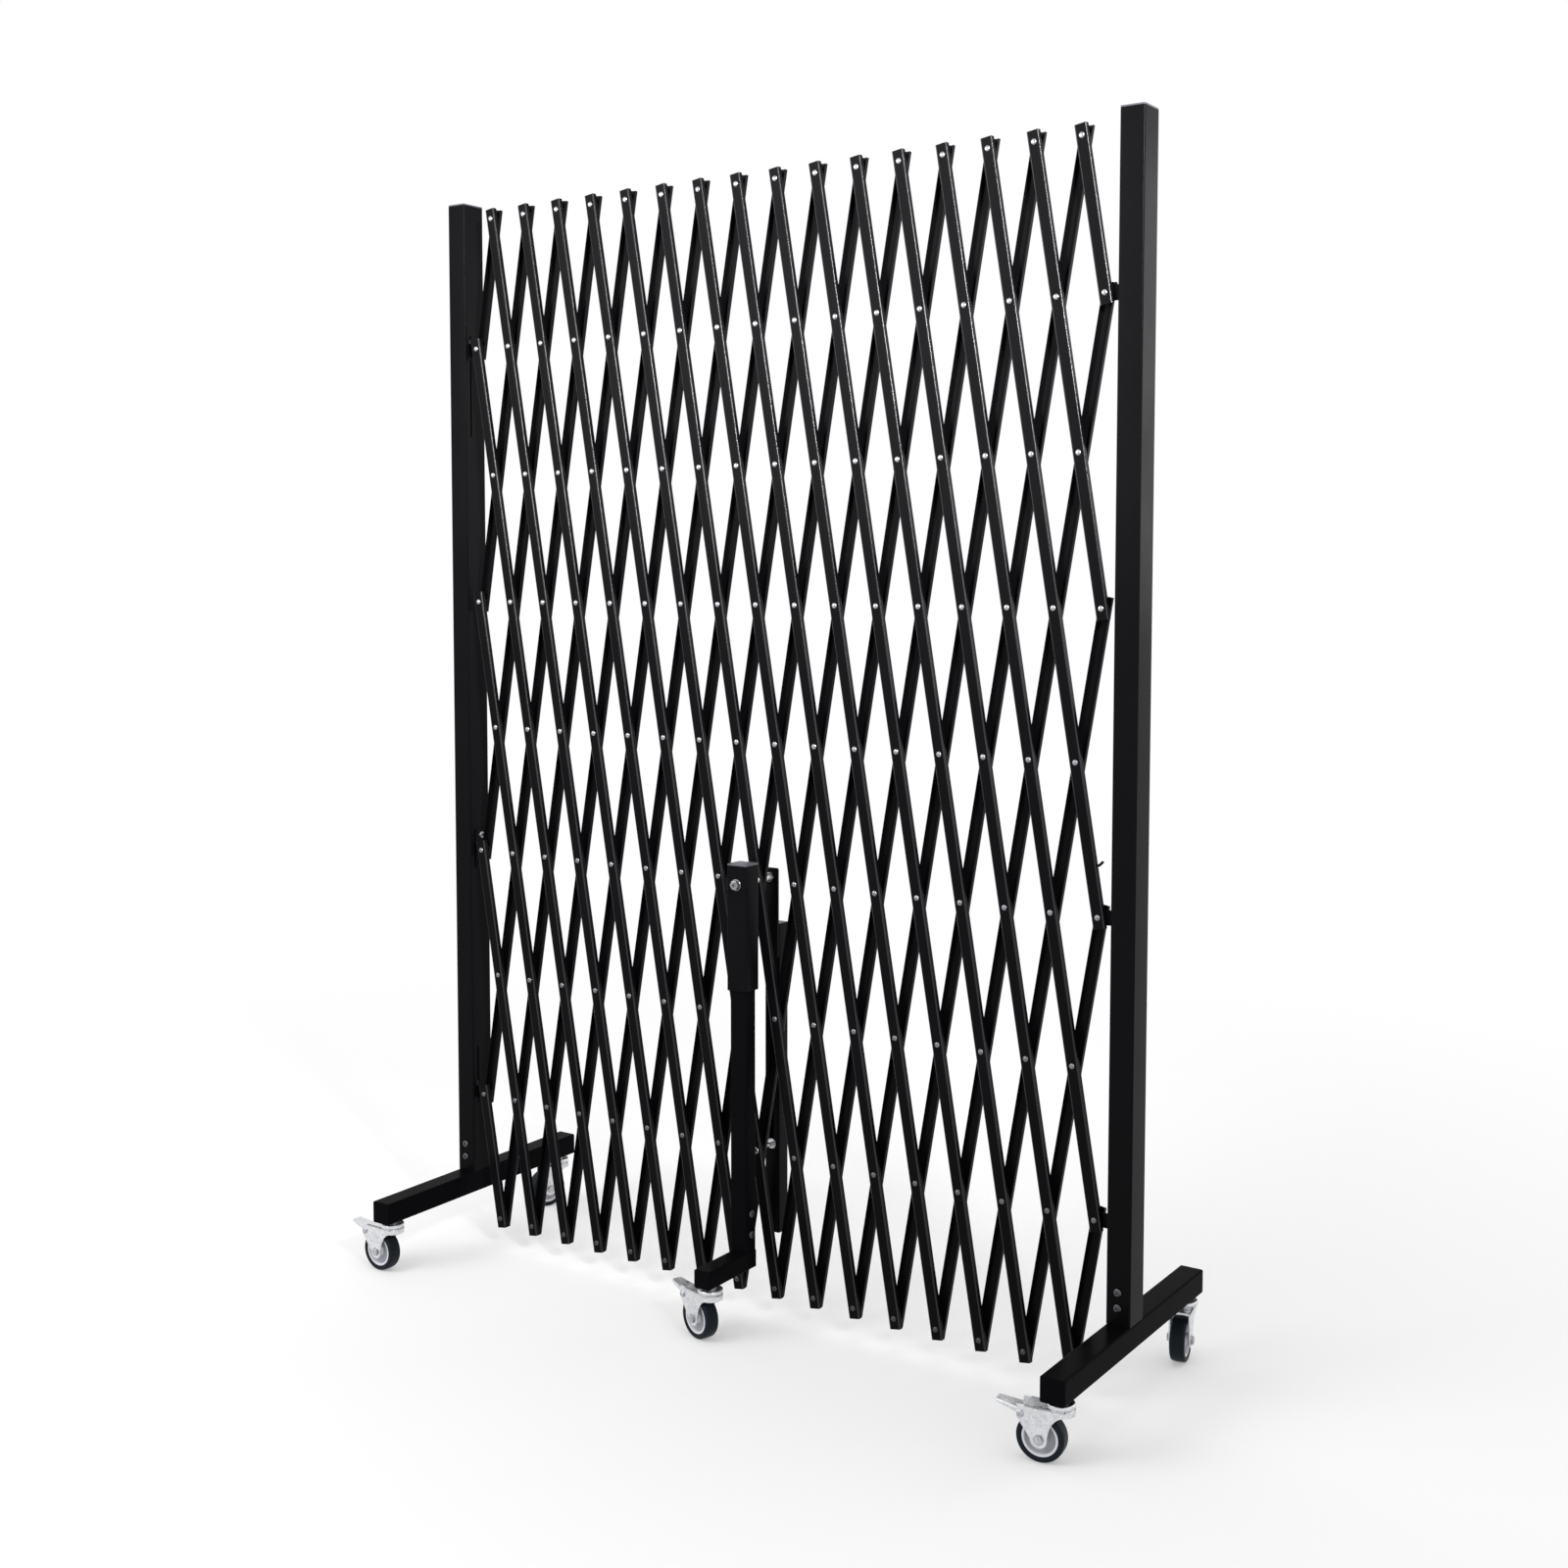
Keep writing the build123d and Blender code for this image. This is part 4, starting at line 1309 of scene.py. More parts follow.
@dataclass
class EndStand:
    """An end post on its foot, with the pieces that hold the lattice."""

    side: Side
    grid: Grid
    post_side: float = 0.040
    post_depth: float = 0.054
    wall: float = 0.002
    corner: float = 0.003
    reach: float = 0.0435
    set_back: float = 0.012
    overrun: float = 0.0348
    front_reach: float = 0.2625
    rear_reach: float = 0.2827
    stub_height: float = 0.080
    stub_side: float = 0.0352
    stub_depth: float = 0.0492
    cap_height: float = 0.003
    cap_edge: float = 0.001
    bolt_heights: Pair = (0.029, 0.054)
    stem_inset: float = 0.030
    tab_height: float = 0.024
    tab_wall: float = 0.003
    slot_side_gap: float = 0.0005
    slot_end_gap: float = 0.003
    slider_height: float = 0.040
    slider_side: float = 0.0354
    slider_depth: float = 0.0494
    bracket_height: float = 0.076
    bracket_width: float = 0.028
    bracket_wall: float = 0.003
    bracket_spacing: float = 0.052
    edge: float = 0.0005

    @property
    def node(self) -> str:
        """The stand's node."""
        return self.side.name.lower() + "_stand"

    @property
    def inward(self) -> Vector:
        """The way from the post to the lattice."""
        return Vector((-self.side.value, 0, 0))

    @property
    def x(self) -> float:
        """The post's place along X."""
        run = self.grid.columns / 2 * self.grid.column_pitch + self.reach
        return self.grid.pivot.x + self.side.value * run

    @property
    def face(self) -> float:
        """The place of the post's inner face along X."""
        return self.x - self.side.value * self.post_side / 2

    @property
    def y(self) -> float:
        """The post's place along Y."""
        return self.grid.pivot.y + self.set_back

    def slot_cutter(self) -> bpy.types.Object:
        """Make the shape of the post's two slots.

        Returns:
            The shape.
        """
        form = Form()
        for row in self.grid.slider_rows:
            rise, drop = self.grid.travel(row)
            height = self.grid.place(0, row).z + (rise - drop) / 2
            length = rise + drop + self.tab_height + 2 * self.slot_end_gap
            outline = rounded_box(self.tab_wall + 2 * self.slot_side_gap, length, self.edge, 1)
            place = aim(Vector((self.face, self.grid.pivot.y, height)), Vector((1, 0, 0)))
            form.stack([(outline, z) for z in (-2 * self.wall, 2 * self.wall)], place)
        return form.piece("slot_cutter", Finish.COAT)

    def build(self) -> None:
        """Make the stand and its two sliders."""
        node, x, y = self.node, self.x, self.y
        foot = Foot(x, y - self.front_reach, y + self.rear_reach, self.post_side)
        foot.build(node)
        upright = Matrix.Translation((x, y, 0))
        top = self.grid.place(0, 0).z + self.overrun
        seat = top - self.cap_height
        size = (self.post_side, self.post_depth)
        post = Form().tube(size, self.wall, self.corner, foot.top, seat, upright)
        fit(cut(post.piece(node + "_post", Finish.COAT), self.slot_cutter()), node, Slot.STAND)
        outline = rounded_box(self.stub_side, self.stub_depth, self.edge)
        stub = Form().plate(outline, foot.top, foot.top + self.stub_height, self.edge, upright)
        stub.seat(node, "stub", Finish.COAT, Slot.STAND)
        cap = Form().plate(rounded_box(*size, self.corner), seat, top, self.cap_edge, upright)
        cap.seat(node, "cap", Finish.CAP, Slot.STAND)
        self.bracket()
        bolts = Form()
        front = y - self.post_depth / 2
        places = [Vector((x, front, foot.top + height)) for height in self.bolt_heights]
        DomedBolt().add(bolts, places, TO_FRONT)
        inner = self.face - self.side.value * self.bracket_wall
        heights = [self.grid.pivot.z + end * self.bracket_spacing / 2 for end in (-1, 1)]
        DomedBolt().add(bolts, [Vector((inner, y, height)) for height in heights], self.inward)
        bolts.seat(node, "bolts", Finish.RIVET, Slot.FORK)
        stems = Form()
        for place in (foot.front + self.stem_inset, foot.rear - self.stem_inset):
            Stem().add(stems, x, place, self.wall)
        stems.seat(node, "stems", Finish.STEEL, Slot.FORK)
        self.sliders()

    def tab(self, row: int, reach: float) -> Form:
        """Make a tab that reaches from an edge rivet towards the post.

        Args:
            row: The rivet's row.
            reach: How far it reaches.

        Returns:
            The form.
        """
        column = self.grid.middle + self.side.value * self.grid.columns / 2
        radius = self.tab_height / 2
        nose = arc((0, 0), radius, pi / 2, 3 * pi / 2, 12)
        outline = [(reach, radius), *nose, (reach, -radius)]
        place = aim(self.grid.place(column, row), TO_FRONT)
        if place.col[0].x * self.side.value < 0:
            place = place @ Matrix.Rotation(pi, 4, "Z")
        return Form().plate(outline, -self.tab_wall / 2, self.tab_wall / 2, self.edge, place)

    def bracket(self) -> None:
        """Make the fixed tab and the plate that bolts it to the post."""
        form = self.tab(self.grid.pivot_row, self.reach - self.post_side / 2 - self.bracket_wall)
        outline = rounded_box(self.bracket_width, self.bracket_height, self.corner)
        place = aim(Vector((self.face, self.y, self.grid.pivot.z)), self.inward)
        form.plate(outline, 0, self.bracket_wall, self.edge, place)
        form.seat(self.node, "bracket", Finish.COAT, Slot.STAND)

    def sliders(self) -> None:
        """Make the two sliders, each a tab and the block that runs in the post."""
        outline = rounded_box(self.slider_side, self.slider_depth, self.corner)
        half = self.slider_height / 2
        for level, row in zip(("upper", "lower"), self.grid.slider_rows):
            node = f"{self.side.name.lower()}_{level}_slider"
            tab = self.tab(row, self.reach - self.slider_side / 2)
            tab.seat(node, "tab", Finish.COAT, Slot.SLIDER)
            middle = Matrix.Translation((self.x, self.y, self.grid.place(0, row).z))
            block = Form().plate(outline, -half, half, self.cap_edge, middle)
            block.seat(node, "block", Finish.CAP, Slot.SLIDER)


@dataclass
class CentreStand:
    """The centre leg with its foot, pivot bolt and rear guide."""

    grid: Grid
    node: str = "centre_stand"
    leg_side: float = 0.032
    wall: float = 0.002
    corner: float = 0.003
    sleeve_side: float = 0.040
    sleeve_wall: float = 0.0038
    sleeve_overrun: float = 0.035
    sleeve_length: float = 0.220
    front_reach: float = 0.070
    foot_side: float = 0.032
    foot_reach: float = 0.175
    foot_rear_gap: float = 0.001
    stem_inset: float = 0.025
    cap_height: float = 0.003
    cap_edge: float = 0.001
    bolt_heights: Pair = (0.0305, 0.067)
    bolt_radius: float = 0.005
    washer_radius: float = 0.010
    washer_wall: float = 0.002
    head_radius: float = 0.0085
    head_height: float = 0.006
    head_socket: float = 0.003
    spacer_radius: float = 0.009
    inner_spacer_radius: float = 0.0075
    nut_radius: float = 0.0095
    nut_height: float = 0.008
    spacer_end: float = 0.028
    tongue_wall: float = 0.005
    tongue_overrun: float = 0.016
    tongue_lap: float = 0.060
    thread: float = 0.003
    guide_side: float = 0.030
    guide_top_drop: float = 0.083
    guide_bottom_drop: float = 0.160
    slot_width: float = 0.0086
    slot_flat: float = 0.0001
    slot_end_gap: float = 0.003
    pin_radius: float = 0.004
    plug_wall: float = 0.003
    play: float = 0.0003
    edge: float = 0.0005
    slot_steps: int = 6
    washer_sides: int = 36
    spacer_sides: int = 28

    @property
    def leg_y(self) -> float:
        """The leg's place along Y."""
        return self.grid.pivot.y - self.front_reach + self.sleeve_side / 2

    @property
    def guide_front(self) -> float:
        """The way from the lattice's middle back to the rear guide."""
        return self.spacer_end + self.nut_height + self.tongue_wall

    def build(self) -> None:
        """Make the stand."""
        node, pivot = self.node, self.grid.pivot
        rear = self.leg_y + self.leg_side / 2 + self.foot_rear_gap
        foot = Foot(pivot.x, pivot.y - self.foot_reach, rear, self.foot_side)
        foot.build(node)
        upright = Matrix.Translation((pivot.x, self.leg_y, 0))
        top = pivot.z + self.sleeve_overrun
        base = top - self.sleeve_length
        seat = top - self.cap_height
        size = (self.leg_side, self.leg_side)
        end = top - 2 * self.cap_height
        leg = Form().tube(size, self.wall, self.corner, foot.top, end, upright)
        leg.seat(node, "leg", Finish.MATT, Slot.STAND)
        size = (self.sleeve_side, self.sleeve_side)
        sleeve = Form().tube(size, self.sleeve_wall, self.corner, base, seat, upright)
        sleeve.seat(node, "sleeve", Finish.COAT, Slot.STAND)
        cap = Form().plate(rounded_box(*size, self.corner), seat, top, self.cap_edge, upright)
        cap.seat(node, "cap", Finish.CAP, Slot.STAND)
        bolts = Form()
        face = pivot.x + self.leg_side / 2
        places = [Vector((face, self.leg_y, foot.top + height)) for height in self.bolt_heights]
        DomedBolt().add(bolts, places, Vector((1, 0, 0)))
        bolts.seat(node, "leg_bolts", Finish.RIVET, Slot.FORK)
        stem = Form()
        Stem().add(stem, pivot.x, foot.front + self.stem_inset, self.wall)
        stem.seat(node, "stem", Finish.STEEL, Slot.FORK)
        self.pivot_bolt()
        self.rear_guide()

    def pivot_bolt(self) -> None:
        """Make the bolt with its washer, spacers and nuts."""
        back = aim(self.grid.pivot, TO_REAR)
        face = -self.front_reach
        end = self.guide_front + self.nut_height + self.thread
        bolt = Form().cylinder(self.bolt_radius, face, end, back)
        washer = self.washer_radius
        seat = face - self.washer_wall
        rim = [(washer - self.edge, seat), (washer, seat + self.edge), (washer, face)]
        bolt.turn(rim, back, self.washer_sides)
        bolt.hexagon(self.head_radius, seat - self.head_height, seat, back, self.head_socket)
        bolt.seat(self.node, "pivot_bolt", Finish.RIVET, Slot.FORK)
        outer = self.grid.outer_face + self.play
        web = self.grid.outer_face - self.grid.bar_wall - self.play
        spacers, sides = Form(), self.spacer_sides
        spacers.cylinder(self.spacer_radius, face + self.sleeve_side, -outer, back, sides)
        for start, stop in ((-web, web), (outer, self.spacer_end)):
            spacers.cylinder(self.inner_spacer_radius, start, stop, back, sides)
        for start in (self.spacer_end, self.guide_front):
            spacers.hexagon(self.nut_radius, start, start + self.nut_height, back)
        spacers.seat(self.node, "spacers", Finish.STEEL, Slot.FORK)

    def rear_guide(self) -> None:
        """Make the guide behind the lattice, its slot, plugs and tongue."""
        node, pivot, side = self.node, self.grid.pivot, self.guide_side
        front = pivot.y + self.guide_front
        upright = Matrix.Translation((pivot.x, front + side / 2, 0))
        height = self.grid.place(0, self.grid.guide_row).z
        top = pivot.z - self.guide_top_drop
        base = height - self.guide_bottom_drop
        guide = Form().tube((side, side), self.wall, self.corner, base, top, upright)
        rise, drop = self.grid.travel(self.grid.guide_row)
        length = rise + drop + 2 * (self.pin_radius + self.slot_end_gap)
        corner = self.slot_width / 2 - self.slot_flat
        outline = rounded_box(self.slot_width, length, corner, self.slot_steps)
        place = aim(Vector((pivot.x, front, height + (rise - drop) / 2)), TO_FRONT)
        cutter = Form().stack([(outline, z) for z in (-2 * self.wall, 2 * self.wall)], place)
        piece = guide.piece(node + "_rear_guide", Finish.COAT)
        fit(cut(piece, cutter.piece("slot_cutter", Finish.COAT)), node, Slot.STAND)
        core = side - 2 * self.wall
        plugs = Form()
        for low in (base, top - self.plug_wall):
            outline = rounded_box(core, core, self.edge)
            plugs.plate(outline, low, low + self.plug_wall, self.edge, upright)
        plugs.seat(node, "guide_plugs", Finish.CAP, Slot.STAND)
        low = top - self.tongue_lap
        high = pivot.z + self.tongue_overrun
        place = aim(Vector((pivot.x, front, (low + high) / 2)), TO_FRONT)
        outline = rounded_box(side, high - low, self.corner)
        tongue = Form().plate(outline, 0, self.tongue_wall, self.edge, place)
        tongue.seat(node, "tongue", Finish.COAT, Slot.STAND)


@dataclass
class Caster:
    """A swivel caster with its fork, wheel and brake pedal."""

    name: str
    brake: Brake
    swivel: Vector
    axle: Vector
    wheel_radius: float = 0.0375
    wheel_width: float = 0.025
    tyre_depth: float = 0.009
    tyre_round: float = 0.004
    tyre_crown: float = 0.0004
    tyre_lip: float = 0.0006
    tyre_flank: float = 0.001
    tyre_steps: int = 6
    tyre_sides: int = 72
    hub_width: float = 0.028
    hub_inset: float = 0.0015
    hub_edge: float = 0.0006
    hub_draft: float = 0.0004
    hub_sides: int = 64
    boss_radius: float = 0.010
    rim_wall: float = 0.0045
    dish: float = 0.005
    dish_round: float = 0.0014
    axle_radius: float = 0.005
    axle_play: float = 0.0001
    axle_head_radius: float = 0.008
    axle_head_height: float = 0.0045
    axle_washer: float = 0.001125
    axle_nut_radius: float = 0.0072
    axle_sides: int = 32
    lug_radius: float = 0.013
    arch_steps: int = 12
    fork_wall: float = 0.0025
    fork_half: float = 0.0175
    crown_base: float = 0.083
    crown_top: float = 0.086
    crown_rear: float = 0.050
    skirt: float = 0.009
    skirt_lap: float = 0.001
    skirt_bite: float = 0.0005
    head_radius: float = 0.022
    head_steps: int = 18
    race_radius: float = 0.020
    race_height: float = 0.003
    race_waist: float = 0.0012
    race_sides: int = 48
    rim_height: float = 0.006
    rim_round: float = 0.002
    rim_steps: int = 4
    bore: float = 0.0061
    pin_reach: float = 0.056
    pin_height: float = 0.072
    pin_radius: float = 0.0025
    pin_lug: float = 0.006
    pin_chamfer: float = 0.0025 / 3
    pin_sides: int = 24
    pedal_boss: float = 0.0055
    pedal_reach: float = 0.097
    pedal_height: float = 0.084
    pedal_wall: float = 0.0022
    pedal_root_drop: float = 0.0095
    pedal_tip_drop: float = 0.004
    pedal_width: float = 0.0294
    pedal_tip_width: float = 0.020
    pedal_straight: float = 0.25
    pedal_stations: int = 8
    pedal_bend: float = 0.00198
    pedal_bend_steps: int = 3
    edge: float = 0.0004

    @property
    def trail(self) -> float:
        """The way from the stem to the axle."""
        return (self.axle - self.swivel).xy.length

    @property
    def floor(self) -> Matrix:
        """The caster's frame, on the floor below the stem.

        Returns:
            The frame, with X to the axle and Z up.
        """
        ahead = Vector((*(self.axle - self.swivel).xy, 0)).normalized()
        frame = Matrix((ahead, UP.cross(ahead), UP)).transposed().to_4x4()
        frame.translation = Vector((*self.swivel.xy, 0))
        return frame

    @property
    def wall_frame(self) -> Matrix:
        """The frame of the fork's sides: X to the axle, Y up and Z across the caster."""
        return self.floor @ Matrix.Rotation(pi / 2, 4, "X")

    @property
    def wheel_frame(self) -> Matrix:
        """The wheel's frame: Z along the axle, at the middle of the wheel."""
        return self.wall_frame @ Matrix.Translation((self.trail, self.wheel_radius, 0))

    @property
    def pin_frame(self) -> Matrix:
        """The frame of the pedal's pin: Z along the pin."""
        return self.wall_frame @ Matrix.Translation((self.pin_reach, self.pin_height, 0))

    def leg_outline(self) -> Outline:
        """Draw the side of the fork.

        Returns:
            Its points in reach and height, anticlockwise.
        """
        front = -sqrt(self.head_radius**2 - self.fork_half**2)
        rear = self.trail + self.lug_radius
        height = self.wheel_radius
        low = self.crown_top - self.skirt
        points = [(front, self.crown_top), (front, low)]
        steps = self.arch_steps
        span = self.trail - self.lug_radius - front
        for step in range(1, steps + 1):
            angle = pi / 2 * (1 - step / steps)
            points.append((front + span * cos(angle), height + (low - height) * sin(angle)))
        points += arc((self.trail, height), self.lug_radius, pi, tau, 2 * steps)[1:-1]
        points.append((rear, height))
        if self.brake is Brake.NONE:
            return [*points, (rear, self.crown_top)]
        reach = self.pin_reach + self.pin_lug
        return [*points, (reach, self.pin_height - self.pin_lug), (reach, self.crown_top)]

    def fork(self) -> bpy.types.Object:
        """Make the fork with its crown, skirt and bearing race.

        Returns:
            The piece.
        """
        form = Form()
        inner = self.fork_half - self.fork_wall
        for low in (inner, -self.fork_half):
            high = low + self.fork_wall
            form.plate(self.leg_outline(), low, high, self.edge, self.wall_frame)
        start, steps = asin(self.fork_half / self.head_radius), self.head_steps
        nose = arc((0, 0), self.head_radius, pi - start, pi + start, steps)
        end = self.crown_rear if self.brake is Brake.PEDAL else self.trail + self.lug_radius
        crown = [(end, self.fork_half), *nose, (end, -self.fork_half)]
        form.plate(crown, self.crown_base, self.crown_top, self.edge, self.floor)
        inside = arc((0, 0), self.head_radius - self.fork_wall, pi + start, pi - start, steps)
        limit = inner + self.skirt_bite
        skirt = nose + [(x, max(min(y, limit), -limit)) for x, y in inside]
        low, high = self.crown_top - self.skirt, self.crown_base + self.skirt_lap
        form.plate(skirt, low, high, self.edge, self.floor)
        form.turn(self.race_profile(), self.floor, self.race_sides, closed=True)
        return form.piece(self.name + "_fork_body", Finish.FORK)

    def race_profile(self) -> Outline:
        """Draw the bearing race and the rim above it.

        Returns:
            A closed profile.
        """
        low, bend, radius = self.crown_top, self.rim_round, self.head_radius
        step = low + self.race_height
        top = step + self.rim_height
        waist = [
            (self.race_radius - depth * self.race_waist, low + rise * self.race_height)
            for depth, rise in RACE_WAIST
        ]
        return [
            (self.bore, low),
            *waist,
            (radius - self.edge, step),
            (radius, step + self.edge),
            *arc((radius - bend, top - bend), bend, 0, pi / 2, self.rim_steps),
            (self.bore, top),
        ]

    def axle_bolt(self) -> bpy.types.Object:
        """Make the axle with its washer, head and nut, and the pedal's pin.

        Returns:
            The piece.
        """
        half = self.fork_half
        form = Form().cylinder(self.axle_radius, -half, half, self.wheel_frame)
        seat = half + self.axle_washer
        for turn in (0.0, pi):
            side = self.wheel_frame @ Matrix.Rotation(turn, 4, "X")
            form.cylinder(self.axle_head_radius, half, seat, side, self.axle_sides)
            form.hexagon(self.axle_nut_radius, seat, half + self.axle_head_height, side)
        if self.brake is Brake.PEDAL:
            head, outer, chamfer = self.pedal_boss, half + self.fork_wall, self.pin_chamfer
            near = [(self.pin_radius, half), (head, half)]
            near += [(head, outer - chamfer), (head - chamfer, outer)]
            far = [(radius, -height) for radius, height in reversed(near)]
            form.turn(far + near, self.pin_frame, self.pin_sides)
        return form.piece(self.name + "_axle", Finish.STEEL)

    def tyre(self) -> bpy.types.Object:
        """Make the tyre, with round shoulders and a faint crown.

        Returns:
            The piece.
        """
        low, bend, lip = -self.wheel_width / 2, self.tyre_round, self.tyre_lip
        inner = self.wheel_radius - self.tyre_depth
        base = self.wheel_radius - self.tyre_crown - bend
        flank = [(inner, low + lip), (inner + 2 * lip, low), (base - self.tyre_flank, low)]
        half = flank + arc((base, low + bend), bend, -pi / 2, 0, self.tyre_steps)
        mirrored = [(radius, -height) for radius, height in reversed(half)]
        profile = [(inner, 0.0), *half, (self.wheel_radius, 0.0), *mirrored]
        form = Form().turn(profile, self.wheel_frame, self.tyre_sides, closed=True)
        return form.piece(self.name + "_tyre", Finish.TYRE)

    def hub(self) -> bpy.types.Object:
        """Make the hub, dished on both sides between its boss and its rim.

        Returns:
            The piece.
        """
        rim = self.wheel_radius - self.tyre_depth
        half = self.wheel_width / 2 - self.hub_inset
        boss, edge = self.hub_width / 2, self.hub_edge
        floor = half - self.dish
        wall = rim - self.rim_wall
        one_side = [
            (self.axle_radius + self.axle_play, boss),
            (self.boss_radius - edge, boss),
            (self.boss_radius, boss - edge),
            (self.boss_radius + edge, floor + 2 * edge),
            (self.boss_radius + edge + self.dish_round, floor),
            (wall - self.dish_round, floor),
            (wall, floor + 2 * edge),
            (wall + self.hub_draft, half - edge),
            (wall + self.hub_draft + edge, half),
            (rim - edge, half),
            (rim, half - edge),
        ]
        profile = one_side + [(radius, -height) for radius, height in reversed(one_side)]
        form = Form().turn(profile, self.wheel_frame, self.hub_sides, closed=True)
        piece = form.piece(self.name + "_hub", Finish.HUB)
        centre = self.wheel_frame.translation
        across = self.wheel_frame.col[2].xyz
        level = (floor + half) / 2

        def in_groove(face: bpy.types.MeshPolygon) -> bool:
            """Say whether a face lies in the groove between the boss and the rim.

            Args:
                face: The face.

            Returns:
                Whether it does.
            """
            way = face.center - centre
            height = way.dot(across)
            return abs(height) < level and (way - height * across).length > self.boss_radius

        # the groove between boss and rim gets the darker nylon, a painted shade
        paint(piece, Finish.GROOVE, in_groove)
        return piece

    def pedal(self) -> Form:
        """Make the brake pedal, a tapered tongue of sheet with its sides turned down.

        Returns:
            The form.
        """
        loops = []
        start = self.pin_reach - self.pedal_boss
        top_start = self.pin_height + self.pedal_boss
        for step in range(self.pedal_stations + 1):
            share = step / self.pedal_stations
            reach = start + (self.pedal_reach - start) * share
            taper = max(0.0, (share - self.pedal_straight) / (1 - self.pedal_straight))
            half = (self.pedal_width + (self.pedal_tip_width - self.pedal_width) * taper) / 2
            top = top_start + (self.pedal_height - top_start) * share
            drop = self.pedal_root_drop + (self.pedal_tip_drop - self.pedal_root_drop) * share
            sheet = (self.pedal_wall, self.pedal_bend, self.pedal_bend_steps)
            outline = channel(half, top - drop, top, *sheet)
            loops.append([Vector((reach, y, z)) for y, z in outline])
        half = self.pedal_width / 2 - self.pedal_wall
        form = Form().loft(loops, self.floor)
        return form.cylinder(self.pedal_boss, -half, half, self.pin_frame)

    def build(self) -> None:
        """Make the caster's pieces and seat them."""
        fit(self.fork(), self.name + "_fork", Slot.FORK)
        fit(self.axle_bolt(), self.name + "_fork", Slot.FORK)
        fit(self.tyre(), self.name + "_wheel", Slot.WHEEL)
        fit(self.hub(), self.name + "_wheel")
        if self.brake is Brake.PEDAL:
            self.pedal().seat(self.name + "_pedal", "tongue", Finish.FORK, Slot.PEDAL)


# Studio


@dataclass(frozen=True)
class Lamp:
    """A soft square lamp."""

    name: str
    place: Colour
    size: float
    power: float
    target: Colour = (0, 0, 1.4)
    spread: float = radians(180)

    def hang(self) -> None:
        """Hang the lamp in the scene."""
        light = bpy.data.lights.new(self.name, "AREA")
        light.size = self.size
        light.energy = self.power
        light.spread = self.spread
        place = Vector(self.place)
        show(self.name, light).matrix_world = aim(place, place - Vector(self.target))


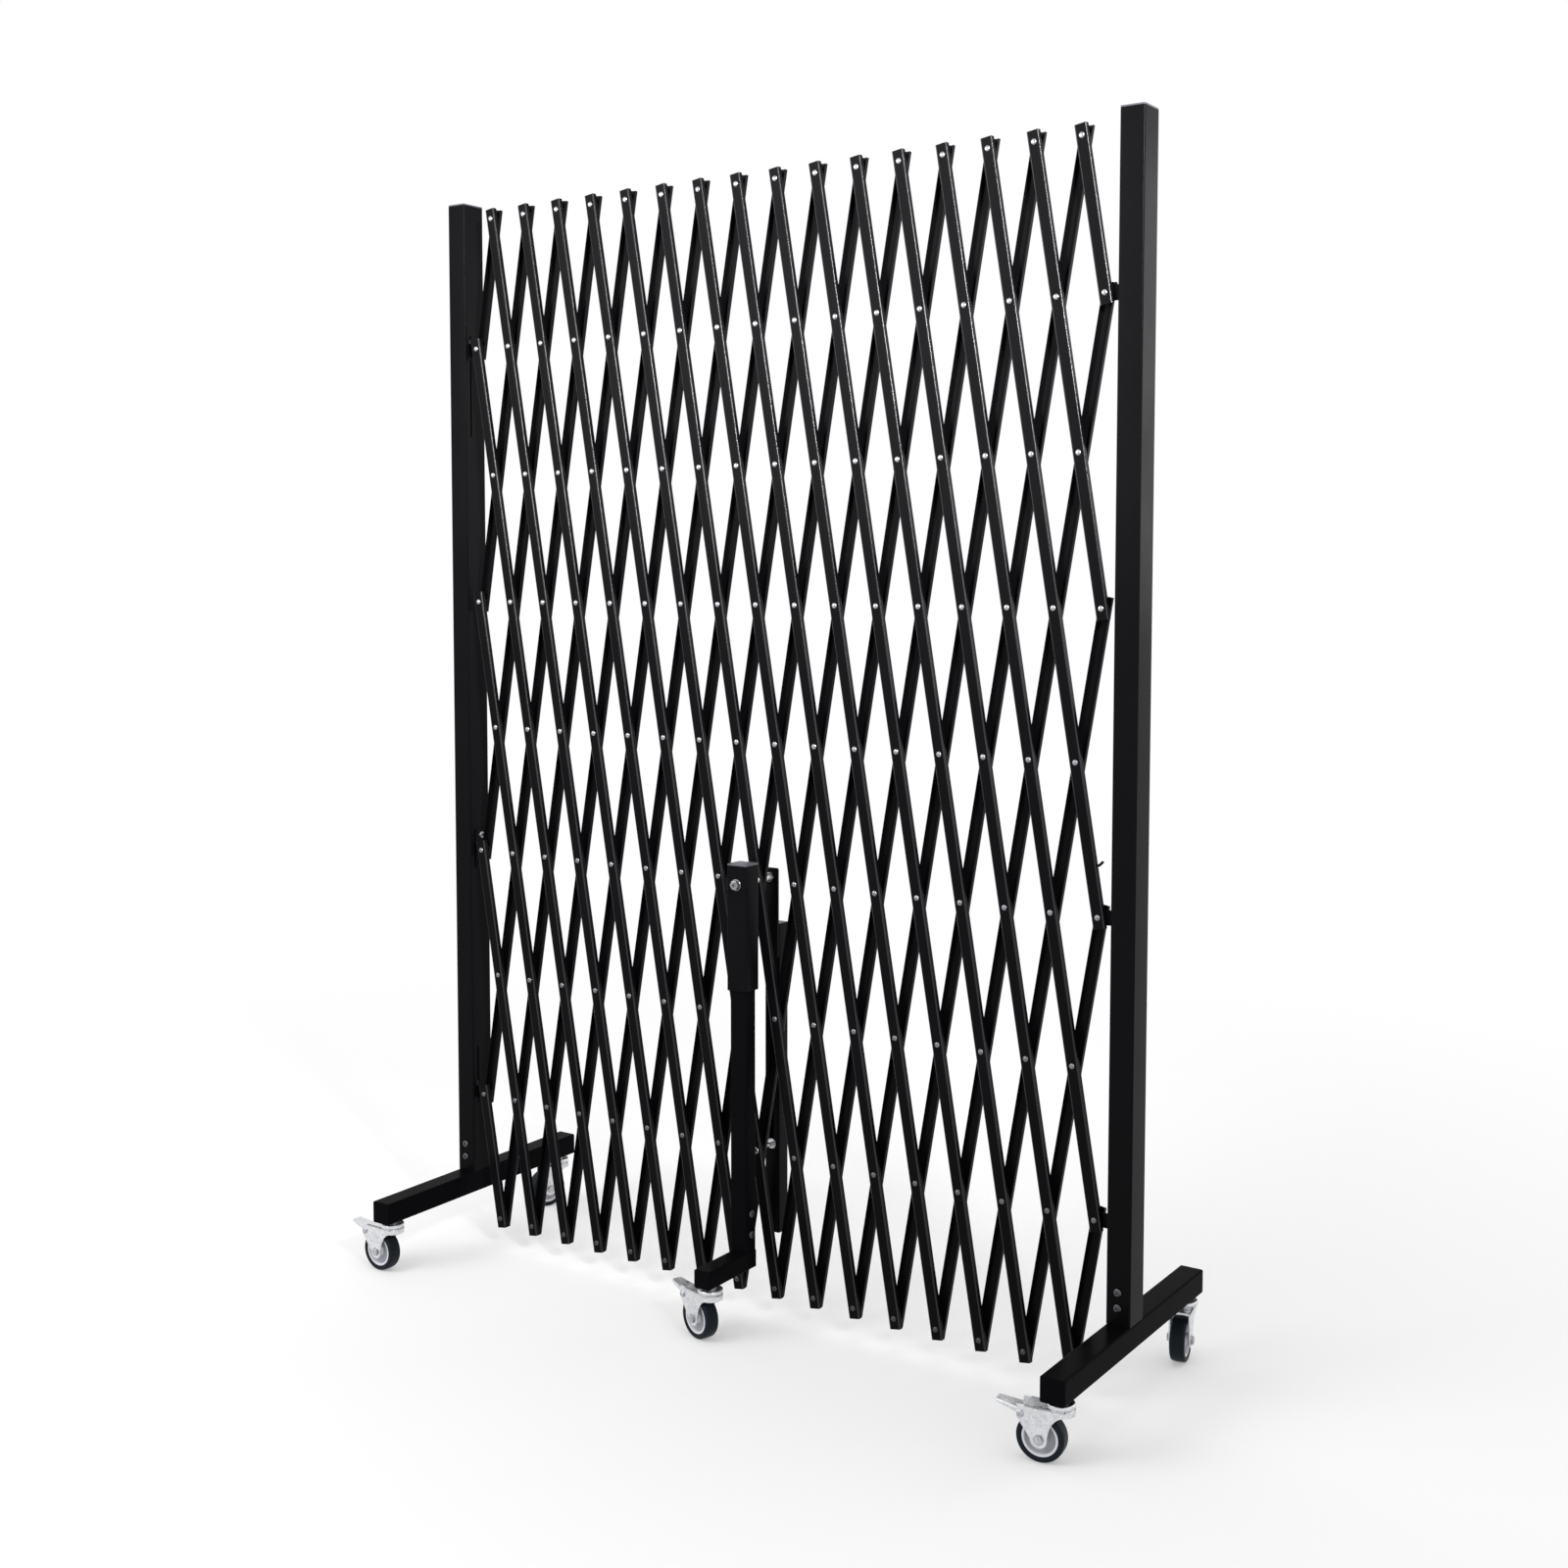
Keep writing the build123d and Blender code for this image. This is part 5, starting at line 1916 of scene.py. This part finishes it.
@dataclass
class Studio:
    """A pale floor, a white surround and soft lamps."""

    floor_radius: float = 14.0
    floor_sides: int = 96
    floor_tone: float = 0.93
    floor_roughness: float = 0.9
    fade_start: float = 0.8
    fade_end: float = 3.2
    fade_least: float = 0.3
    ambient: float = 0.75
    lamps: tuple[Lamp, ...] = (
        Lamp("edge_lamp", (2.7, -1.9, 2.7), 0.5, 24, (0.3, 0, 1.9), radians(52)),
        Lamp("front_lamp", (-1.6, -2.7, 2.3), 1.9, 60),
        Lamp("rear_lamp", (2.2, 2.6, 1.9), 1.4, 12),
        Lamp("top_lamp", (0.2, 0.4, 4.0), 2.4, 20),
    )

    def floor(self) -> None:
        """Lay the floor, which fades into the white surround."""
        data = bpy.data.meshes.new("studio_floor")
        form = bmesh.new()
        size = {"radius": self.floor_radius, "segments": self.floor_sides}
        bmesh.ops.create_circle(form, cap_ends=True, **size)
        form.to_mesh(data)
        form.free()
        shader = Shader("studio_floor")
        shader.surface.inputs["Base Color"].default_value = (*(self.floor_tone,) * 3, 1)
        shader.fix(Roughness=self.floor_roughness, Specular_IOR_Level=0.0)
        tree = shader.tree
        length = wire(tree, "ShaderNodeVectorMath", {0: shader.place}, operation="LENGTH")
        inputs = {
            "Value": length.outputs["Value"],
            "From Min": self.fade_start,
            "From Max": self.fade_end,
            "To Min": self.fade_least,
        }
        fade = wire(tree, "ShaderNodeMapRange", inputs, interpolation_type="SMOOTHSTEP")
        white = wire(tree, "ShaderNodeEmission", {})
        inputs = {0: fade.outputs["Result"], 1: shader.surface.outputs[0], 2: white.outputs[0]}
        mix = wire(tree, "ShaderNodeMixShader", inputs)
        tree.links.new(mix.outputs[0], tree.nodes["Material Output"].inputs["Surface"])
        data.materials.append(shader.material)
        show("studio_floor", data)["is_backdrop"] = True

    def surround(self) -> None:
        """Make the world white where it is seen or mirrored, and dimmer as a light."""
        world = bpy.data.worlds.new("white_surround")
        bpy.context.scene.world = world
        world.use_nodes = True
        tree = world.node_tree
        white = (1, 1, 1, 1)
        shown = tree.nodes["Background"]
        shown.inputs["Color"].default_value = white
        light = wire(tree, "ShaderNodeBackground", {"Color": white, "Strength": self.ambient})
        rays = wire(tree, "ShaderNodeLightPath", {}).outputs
        inputs = {0: rays["Is Camera Ray"], 1: rays["Is Glossy Ray"]}
        seen = wire(tree, "ShaderNodeMath", inputs, operation="MAXIMUM")
        inputs = {0: seen.outputs[0], 1: rays["Is Transmission Ray"]}
        mirrored = wire(tree, "ShaderNodeMath", inputs, operation="MAXIMUM")
        inputs = {0: mirrored.outputs[0], 1: light.outputs[0], 2: shown.outputs[0]}
        mix = wire(tree, "ShaderNodeMixShader", inputs)
        tree.links.new(mix.outputs[0], tree.nodes["World Output"].inputs["Surface"])

    def build(self) -> None:
        """Set up the studio."""
        self.floor()
        self.surround()
        for lamp in self.lamps:
            lamp.hang()


@dataclass
class PhotoCamera:
    """The camera at the photograph's viewing angle."""

    place: Colour = (1.8838, -2.7884, 1.3189)
    ahead: Colour = (-0.57599, 0.81460, -0.06834)
    right: Colour = (0.81660, 0.57720, -0.00251)
    lens: float = 44.21
    sensor: float = 36.0
    shift: Pair = (0.0494, -0.0541)
    clip_end: float = 60.0

    def build(self) -> None:
        """Set the camera up as the scene's."""
        data = bpy.data.cameras.new("photo_camera")
        data.lens = self.lens
        data.sensor_width = self.sensor
        data.sensor_fit = "HORIZONTAL"
        data.shift_x, data.shift_y = self.shift
        data.clip_end = self.clip_end
        camera = show("photo_camera", data)
        right = Vector(self.right).normalized()
        back = -Vector(self.ahead).normalized()
        camera.matrix_world = Matrix((right, back.cross(right), back)).transposed().to_4x4()
        camera.matrix_world.translation = Vector(self.place)
        bpy.context.scene.camera = camera


CASTERS = {
    "left_front": Brake.PEDAL,
    "left_rear": Brake.NONE,
    "right_front": Brake.PEDAL,
    "right_rear": Brake.NONE,
    "centre": Brake.PEDAL,
}


def clear() -> None:
    """Take Blender's starting objects out of the scene."""
    for thing in list(bpy.data.objects):
        bpy.data.objects.remove(thing)


def main() -> None:
    """Load the frame, dress every node and light the scene."""
    logging.basicConfig(level=logging.INFO, format="%(message)s")
    clear()
    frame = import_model()
    cad_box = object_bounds()
    PhotoCamera().build()
    places = {joint["name"]: Vector(joint["pos_m"]) for joint in frame["joints"]}
    grid = Grid(places["fold"])
    Lattice(grid).build()
    for side in Side:
        EndStand(side, grid).build()
    CentreStand(grid).build()
    for name, brake in CASTERS.items():
        Caster(name, brake, places[name + "_swivel"], places[name + "_roll"]).build()
    Studio().build()
    bpy.context.scene.view_settings.view_transform = "Standard"
    [[list(corner) for corner in box] for box in (cad_box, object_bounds())]


if __name__ == "__main__":
    main()
